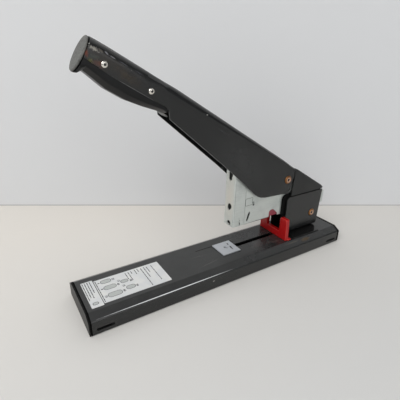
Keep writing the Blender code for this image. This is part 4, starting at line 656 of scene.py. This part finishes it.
def makeRivet(nodeName, sizes):
    # Clenched tubular rivet with a dimple at each end
    form, middle = rivetForm, nodeMiddle(nodeName)
    radius, face, sheet, dimple = sizes["radius"], sizes["face"], form["sheet"], form["dimple"]
    deep, floor, throat = form["depths"]
    near = [(0.0, face - deep), (dimple * form["floorShare"], face - floor), (dimple, face - throat),
            (dimple + form["lip"][0], face - form["lip"][1]), (sizes["worn"], face),
            (radius - form["shoulder"][0], face - form["shoulder"][1]),
            (radius - form["side"][0], face - form["side"][1]), (radius, sheet + form["foot"]),
            (radius - form["side"][0], sheet), (sizes["shank"], sheet)]
    shape = spinProfile(middle, near, form["steps"])
    for part in shape.faces:
        offset = (part.calc_center_median() - middle) / mm
        reach, height = math.hypot(offset.x, offset.z), abs(offset.y) - sheet
        part.material_index = 1 if reach < sizes["worn"] and height > form["wornFrom"] else 0
        if reach < dimple and height > form["dimpleFrom"]:
            part.material_index = 2
    mesh = meshFrom(shape, nodeName + "Turned")
    finishPiece(nodeName + "Turned", mesh, [brass, brassPale, oiledSteel], nodeBody[nodeName], [nodeName])


for nodeName, sizes in rivets.items():
    makeRivet(nodeName, sizes)

gripRivets = {
    "names": ("grip_rivet_1", "grip_rivet_2"),
    "radius": 2.3, "sheet": 11.1, "height": 1.28, "shank": 1.2, "rings": 8, "steps": 36,
    "dish": 2, "sink": 0.3,          # how many rings of the dome the dark dish takes, and how far it sinks
    "smooth": 60.0,
}


def makeGripRivet(nodeName, sizes):
    # Polished heads with a small dark dish, a painted dark reflection in the middle of the dome, on a shank
    # through the handle and the grip
    middle = nodeMiddle(nodeName)
    arc = [math.pi / 2 * i / sizes["rings"] for i in range(sizes["rings"] + 1)]
    near = [(math.sin(a) * sizes["radius"], sizes["sheet"] + math.cos(a) * sizes["height"]
             - (sizes["sink"] if i < sizes["dish"] else 0.0)) for i, a in enumerate(arc)]
    near.append((sizes["shank"], sizes["sheet"]))
    shape = spinProfile(middle, near, sizes["steps"])
    for part in shape.faces:
        offset = part.calc_center_median() - middle
        reach = math.hypot(offset.x, offset.z) / (sizes["radius"] * mm)
        part.material_index = 1 if reach < math.sin(arc[sizes["dish"]]) else 0
    mesh = meshFrom(shape, nodeName + "Domed")
    finishPiece(nodeName + "Domed", mesh, [nickel, oiledSteel], nodeBody[nodeName], [nodeName],
                smooth=sizes["smooth"])


for nodeName in gripRivets["names"]:
    makeGripRivet(nodeName, gripRivets)

springs = {
    # coils copied in spring steel; joint names each one's joint, and keep is its length at the joint's limit
    # over its length at rest
    "head_spring": {"joint": "head_hinge", "keep": 0.65, "foot": 23.1},
    "handle_spring": {"joint": "handle_hinge", "keep": 0.73, "foot": 59.3},
}
for nodeName, values in springs.items():
    coil = refineNode(nodeName, [springSteel], width=0)
    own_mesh(coil)
print("rivets and springs made")


# Satin paper labels, printed in grey with ruled lines and plain staple outlines
labelPaper = makePlastic("labelPaper", {"colour": "#d3d4d4", "pale": "#dfdeda", "rough": 0.5, "bump": 0.02})
labelInk = makePlastic("labelInk", {"colour": "#2c2d31", "pale": "#3b3c40", "rough": 0.6, "bump": 0.0})
labelTint = makePlastic("labelTint", {"colour": "#b2b5b2", "pale": "#babcb8", "rough": 0.55, "bump": 0.0})
labels = {
    "top": 17.8,                     # the base's level top, in mm
    "sheet": 0.10,
    "ink": 0.03,
    "sink": 0.02,                    # how far paper and ink reach into what carries them
    "corner": 0.8, "cornerSegments": 4,
    "rule": 0.7,                     # width of a ruled line
    "words": (2.6, 1.5, 3.2, 1.1, 2.1, 1.7), "space": 0.5,           # each line is broken like words
    "outline": 0.4,
    "roundShare": 0.42,              # of an outline's width, the radius of its ends
    "roundSegments": 2,
    "near": 0.2, "upward": 0.9,      # a lid is known by its middle, this near, and faces up at least so much
    "paperSlot": 0, "inkSlot": 1, "tintSlot": 2,
}
labelPrint = {
    # area is X from and to, Y from and to; a line is X, Y from and to; a staple is X, Y, length, width
    "listLabel": {
        "area": (-138.6, -128.6, -19.4, 16.4),
        "lines": [(-137.5, 15.2, -9.5), (-135.5, 15.6, -6.6), (-133.4, 15.0, -8.4), (-131.3, 15.3, -1.5)],
        "staples": [(-134.2, -14.6, 5.0, 3.4)]},
    "sizeLabel": {
        "area": (-128.0, -67.2, -17.9, 14.3),
        "lines": [(-126.9, 13.0, -16.6), (-99.9, 11.6, 1.4), (-97.1, 11.6, -1.2), (-94.5, 11.9, 7.7),
                  (-90.8, 12.4, 5.4), (-88.2, 12.6, 7.4), (-85.0, 11.6, -16.2), (-82.0, 11.8, -4.4),
                  (-79.4, 11.2, 2.2), (-74.8, 11.5, -13.0)],
        "staples": [(-118.4, 9.2, 9.6, 5.2), (-117.6, 0.0, 11.2, 5.6), (-116.6, -10.6, 12.6, 6.0),
                    (-104.2, 1.6, 7.0, 4.6), (-102.0, -8.6, 8.2, 5.2)]},
}


def addSlab(shape, area, low, high, slot=0):
    # A thin block; area is X from and to, Y from and to, all in mm
    x0, x1, y0, y1 = area
    size = Matrix.Diagonal((abs(x1 - x0) * mm, abs(y1 - y0) * mm, (high - low) * mm, 1.0))
    middle = Matrix.Translation(((x0 + x1) / 2 * mm, (y0 + y1) / 2 * mm, (low + high) / 2 * mm))
    made = bmesh.ops.create_cube(shape, size=1.0, matrix=middle @ size)["verts"]
    for face in {f for v in made for f in v.link_faces}:
        face.material_index = slot
    return made


def roundSlab(shape, points, along, radius, segments):
    # Rounds a slab's edges that run along one axis, 1 for Y and 2 for Z
    edges = {e for v in points for e in v.link_edges
             if abs(e.verts[0].co[along] - e.verts[1].co[along]) > close}
    bmesh.ops.bevel(shape, geom=list(edges), offset=radius * mm, offset_type="OFFSET", segments=segments,
                    profile=0.5, affect="EDGES", material=-1, clamp_overlap=True)


def makeLabel(name, values):
    shape = bmesh.new()
    paperTop = labels["top"] + labels["sheet"]
    inkLevels = (paperTop - labels["sink"], paperTop + labels["ink"])
    points = addSlab(shape, values["area"], labels["top"] - labels["sink"], paperTop, labels["paperSlot"])
    roundSlab(shape, points, 2, labels["corner"], labels["cornerSegments"])
    half = labels["rule"] / 2
    for row, (x, start, end) in enumerate(values["lines"]):
        y, word = start, row
        while y - end > labels["space"]:
            length = min(labels["words"][word % len(labels["words"])], y - end)
            addSlab(shape, (x - half, x + half, y - length, y), *inkLevels, labels["inkSlot"])
            y, word = y - length - labels["space"], word + 1
    for x, y, length, width in values["staples"]:
        area = (x - length / 2, x + length / 2, y - width / 2, y + width / 2)
        points = addSlab(shape, area, *inkLevels, labels["inkSlot"])
        roundSlab(shape, points, 2, width * labels["roundShare"], labels["roundSegments"])
        shape.normal_update()
        middle = Vector((x * mm, y * mm))
        lids = [f for f in shape.faces if f.material_index == labels["inkSlot"]
                and f.normal.z > labels["upward"]
                and (f.calc_center_median().xy - middle).length < labels["near"] * mm]
        bmesh.ops.inset_region(shape, faces=lids, thickness=labels["outline"] * mm)
        for face in lids:
            face.material_index = labels["tintSlot"]
    finishPiece(name, meshFrom(shape, name), [labelPaper, labelInk, labelTint], "base")


for name, values in labelPrint.items():
    makeLabel(name, values)

labelNumbers = {
    "height": 2.9,
    "rise": 0.018,
    "lift": 0.012,                   # over the paper
    "weight": 0.08,                  # how much the strokes are fattened
    "merge": 0.001,
    # number, X and Y of its middle in mm; it reads towards -Y with its top towards +X
    "places": [("6", -124.8, 9.2), ("25", -112.0, 9.2), ("8", -124.6, 0.0), ("40", -110.4, 0.0),
               ("10", -124.4, -10.6), ("60", -108.6, -10.6), ("13", -108.6, 4.4), ("80", -99.0, -0.4),
               ("15", -106.9, -4.2), ("99", -96.8, -9.4)],
}


def makeNumbers(values):
    # Plain numbers beside the staple outlines: text, made a mesh and then laid in place
    shape = bmesh.new()
    level = (labels["top"] + labels["sheet"] + values["lift"]) * mm
    for number, x, y in values["places"]:
        letters = bpy.data.curves.new("number", "FONT")
        letters.body = number
        letters.size = values["height"] * mm
        letters.extrude = values["rise"] * mm
        letters.offset = values["weight"] * mm
        letters.resolution_u = 2
        letters.align_x = "CENTER"
        letters.align_y = "CENTER"
        thing = bpy.data.objects.new("number", letters)
        bpy.context.scene.collection.objects.link(thing)
        mesh = bpy.data.meshes.new_from_object(thing.evaluated_get(bpy.context.evaluated_depsgraph_get()))
        bpy.data.objects.remove(thing)
        turn = Matrix.Rotation(math.radians(-90), 4, "Z")
        mesh.transform(Matrix.Translation((x * mm, y * mm, level)) @ turn)
        shape.from_mesh(mesh)
    bmesh.ops.remove_doubles(shape, verts=shape.verts, dist=values["merge"] * mm)
    finishPiece("labelNumbers", meshFrom(shape, "labelNumbers"), [labelInk], "base")


makeNumbers(labelNumbers)

rims = {
    # upright rims: X from and to, Z from and to, the Y of the sides they lie on, line width, corner, rise
    # out of the wall
    "stampedFrame": {"areas": [(18.9, 28.0, 64.8, 72.9)], "sides": [-7.6], "line": 0.5, "corner": 1.0,
                     "segments": 4, "rise": 0.05, "look": pressedZinc, "body": "head", "slot": "plated_steel"},
    # painted shade: matt black rims that widen the dark of the base's side slots
    "slotShadeRims": {"areas": [(-139.2, -124.8, 3.85, 6.15), (124.8, 139.2, 3.85, 6.15)], "sides": [-29.4, 29.4],
                 "line": 0.45, "corner": 1.0, "segments": 4, "rise": 0.04, "look": paintedShadeBlack, "body": "base",
                 "slot": None},
}


def addRim(shape, area, side, values):
    # One flat rim, open inside, that stands a little out of its wall and as far into it
    x0, x1, z0, z1 = area
    made = bmesh.ops.create_grid(shape, x_segments=1, y_segments=1, size=0.5)["verts"]
    size = Matrix.Diagonal(((x1 - x0) * mm, (z1 - z0) * mm, 1.0, 1.0))
    upright = Matrix.Rotation(math.radians(90), 4, "X")
    middle = Matrix.Translation(((x0 + x1) / 2 * mm, side * mm, (z0 + z1) / 2 * mm))
    bmesh.ops.transform(shape, matrix=middle @ upright @ size, verts=made)
    bmesh.ops.bevel(shape, geom=made, offset=values["corner"] * mm, offset_type="OFFSET",
                    segments=values["segments"], profile=0.5, affect="VERTICES", material=-1, clamp_overlap=True)
    inner = list(shape.faces)
    bmesh.ops.inset_region(shape, faces=inner, thickness=values["line"] * mm, use_boundary=True,
                           use_even_offset=True)
    bmesh.ops.delete(shape, geom=inner, context="FACES_ONLY")
    bmesh.ops.translate(shape, verts=shape.verts, vec=(0, math.copysign(values["rise"] * mm, side), 0))
    bmesh.ops.recalc_face_normals(shape, faces=shape.faces)
    bmesh.ops.solidify(shape, geom=list(shape.faces), thickness=2 * values["rise"] * mm)
    bmesh.ops.recalc_face_normals(shape, faces=shape.faces)


def makeRims(name, values):
    # The magazine's empty stamped frame, and matt black rims of painted shade round the base's side slots
    whole = bmesh.new()
    for side in values["sides"]:
        for area in values["areas"]:
            shape = bmesh.new()
            addRim(shape, area, side, values)
            part = meshFrom(shape, name)
            whole.from_mesh(part)
            bpy.data.meshes.remove(part)
    finishPiece(name, meshFrom(whole, name), [values["look"]], values["body"])


for name, values in rims.items():
    makeRims(name, values)

leaves = {
    # upright leaves inside both walls: X from and to, Y from and to on the +Y side, Z from and to, and corner
    # under the cover's rear corners: painted shade, black leaves that close the view through the seam
    "coverSeamShades": {"along": (117.4, 124.6), "walls": (9.0, 9.55), "heights": (61.4, 66.6),
                     "corner": 0.8, "segments": 3, "body": "base"},
    # behind the magazine's slanted slots: painted shade, black leaves that keep them dark inside
    "slotShadeLiners": {"along": (20.4, 26.8), "walls": (6.6, 6.75), "heights": (46.2, 59.8),
                   "corner": 1.0, "segments": 3, "body": "head"},
}


def makeLeaves(name, values):
    shape = bmesh.new()
    inner, outer = values["walls"]
    for y0, y1 in ((-outer, -inner), (inner, outer)):
        points = addSlab(shape, (*values["along"], y0, y1), *values["heights"])
        roundSlab(shape, points, 1, values["corner"], values["segments"])
    finishPiece(name, meshFrom(shape, name), [paintedShadeBlack], values["body"])


for name, values in leaves.items():
    makeLeaves(name, values)
print("labels, rims and leaves made")


camera = {
    "place": (-0.18349, -0.24483, 0.20991),
    "yaw": 32.346,                   # degrees from +Y towards +X
    "down": 24.238,
    "roll": 1.164,
    "focalPixels": 350.56,           # of a 400 pixel wide picture
    "pictureWidth": 400,
    "sensor": 36.0,
    "clipStart": 0.01,
}


def makeCamera(setup):
    lens = bpy.data.cameras.new("photoCamera")
    lens.sensor_width = setup["sensor"]
    lens.lens = setup["sensor"] * setup["focalPixels"] / setup["pictureWidth"]
    lens.clip_start = setup["clipStart"]
    thing = bpy.data.objects.new("photoCamera", lens)
    turn = Matrix.Rotation(math.radians(-setup["yaw"]), 4, "Z")
    tip = Matrix.Rotation(math.radians(90 - setup["down"]), 4, "X")
    roll = Matrix.Rotation(math.radians(setup["roll"]), 4, "Z")
    thing.matrix_world = Matrix.Translation(setup["place"]) @ turn @ tip @ roll
    bpy.context.scene.collection.objects.link(thing)
    bpy.context.scene.camera = thing


stageSetup = {
    "floor": "#d3d2cf",
    "floorLitFar": "#e2ddd5",           # painted light: warmer and paler towards the wall
    "litFrom": (-160.0, 170.0),      # Y in mm where the painted light sets in and is full
    "floorRough": 0.75,
    "wall": "#d7d8d9",
    # painted shade: a darker strip along the foot of the wall, where it meets the floor
    "wallFootShade": "#b9b8b8",
    "footHeight": 1.5,
    "wallRough": 0.9,
    "wallYaw": 29.61,                # degrees from +Y towards +X
    "wallDistance": 143.3,           # from the middle of the base, in mm
    "reach": 4.0,
}


def makeStage(setup):
    floorLook, tree, shader = newMaterial("floorPaint", {"Roughness": setup["floorRough"]})
    place = addNode(tree, "ShaderNodeTexCoord").outputs["Object"]
    # painted light: the floor paler and warmer towards the wall
    depth = addNode(tree, "ShaderNodeSeparateXYZ", {"Vector": place}).outputs["Y"]
    far = addNode(tree, "ShaderNodeMapRange", {
        "Value": depth, "From Min": setup["litFrom"][0] * mm, "From Max": setup["litFrom"][1] * mm})
    tree.links.new(layColour(tree, setup["floor"], setup["floorLitFar"], far.outputs["Result"]),
                   shader.inputs["Base Color"])
    wallLook, tree, shader = newMaterial("wallPaint", {"Roughness": setup["wallRough"]})
    place = addNode(tree, "ShaderNodeTexCoord").outputs["Object"]
    height = addNode(tree, "ShaderNodeSeparateXYZ", {"Vector": place}).outputs["Z"]
    # painted shade along the wall's foot
    foot = addNode(tree, "ShaderNodeMath", {0: height, 1: setup["footHeight"] * mm}, operation="LESS_THAN")
    tree.links.new(layColour(tree, setup["wall"], setup["wallFootShade"], foot.outputs[0]),
                   shader.inputs["Base Color"])
    # seen from behind, the wall lets the view through
    clear = addNode(tree, "ShaderNodeBsdfTransparent")
    behind = addNode(tree, "ShaderNodeNewGeometry").outputs["Backfacing"]
    either = addNode(tree, "ShaderNodeMixShader", {
        0: behind, 1: shader.outputs["BSDF"], 2: clear.outputs["BSDF"]})
    tree.links.new(either.outputs["Shader"], tree.nodes["Material Output"].inputs["Surface"])
    yaw = math.radians(setup["wallYaw"])
    for name, look in (("floor", floorLook), ("wall", wallLook)):
        shape = bmesh.new()
        bmesh.ops.create_grid(shape, x_segments=1, y_segments=1, size=setup["reach"])
        if name == "wall":
            turn = Matrix.Rotation(-yaw, 4, "Z") @ Matrix.Rotation(math.radians(90), 4, "X")
            bmesh.ops.transform(shape, matrix=turn, verts=shape.verts)
            away = Vector((math.sin(yaw), math.cos(yaw), 0.0))
            bmesh.ops.translate(shape, verts=shape.verts, vec=away * setup["wallDistance"] * mm)
        mesh = meshFrom(shape, name)
        mesh.materials.append(look)
        thing = bpy.data.objects.new(name, mesh)
        bpy.context.scene.collection.objects.link(thing)


lamps = {
    "key": {"place": (-1.25, -0.55, 1.5), "size": 1.3, "power": 24.0, "aim": (0.0, 0.0, 0.05)},
    "fill": {"place": (0.2, -1.8, 0.8), "size": 1.4, "power": 9.0, "aim": (0.0, 0.0, 0.05)},
}
roomLight = {
    "colour": "#e6e8ec",
    "left": 0.66, "right": 0.26,     # strength towards -X and +X
    "behind": 0.5,                   # share of it that is left towards -Y
}


def makeLamps(setup, room):
    for name, values in setup.items():
        light = bpy.data.lights.new(name, "AREA")
        light.size = values["size"]
        light.energy = values["power"]
        thing = bpy.data.objects.new(name, light)
        thing.location = values["place"]
        toward = Vector(values["aim"]) - Vector(values["place"])
        thing.rotation_euler = toward.to_track_quat("-Z", "Y").to_euler()
        bpy.context.scene.collection.objects.link(thing)
    world = bpy.context.scene.world or bpy.data.worlds.new("roomLight")
    bpy.context.scene.world = world
    world.use_nodes = True
    tree = world.node_tree
    background = tree.nodes["Background"]
    background.inputs["Color"].default_value = hexColour(room["colour"])
    around = addNode(tree, "ShaderNodeTexCoord").outputs["Generated"]
    ways = addNode(tree, "ShaderNodeSeparateXYZ", {"Vector": around})
    across = addNode(tree, "ShaderNodeMapRange", {
        "Value": ways.outputs["X"], "From Min": -1.0, "To Min": room["left"], "To Max": room["right"]})
    along = addNode(tree, "ShaderNodeMapRange", {
        "Value": ways.outputs["Y"], "From Min": -1.0, "From Max": 0.0, "To Min": room["behind"]})
    level = addNode(tree, "ShaderNodeMath", {
        0: across.outputs["Result"], 1: along.outputs["Result"]}, operation="MULTIPLY")
    tree.links.new(level.outputs[0], background.inputs["Strength"])


makeStage(stageSetup)
makeLamps(lamps, roomLight)
makeCamera(camera)
bpy.context.scene.view_settings.view_transform = "Standard"
print("stage, lamps and camera set")
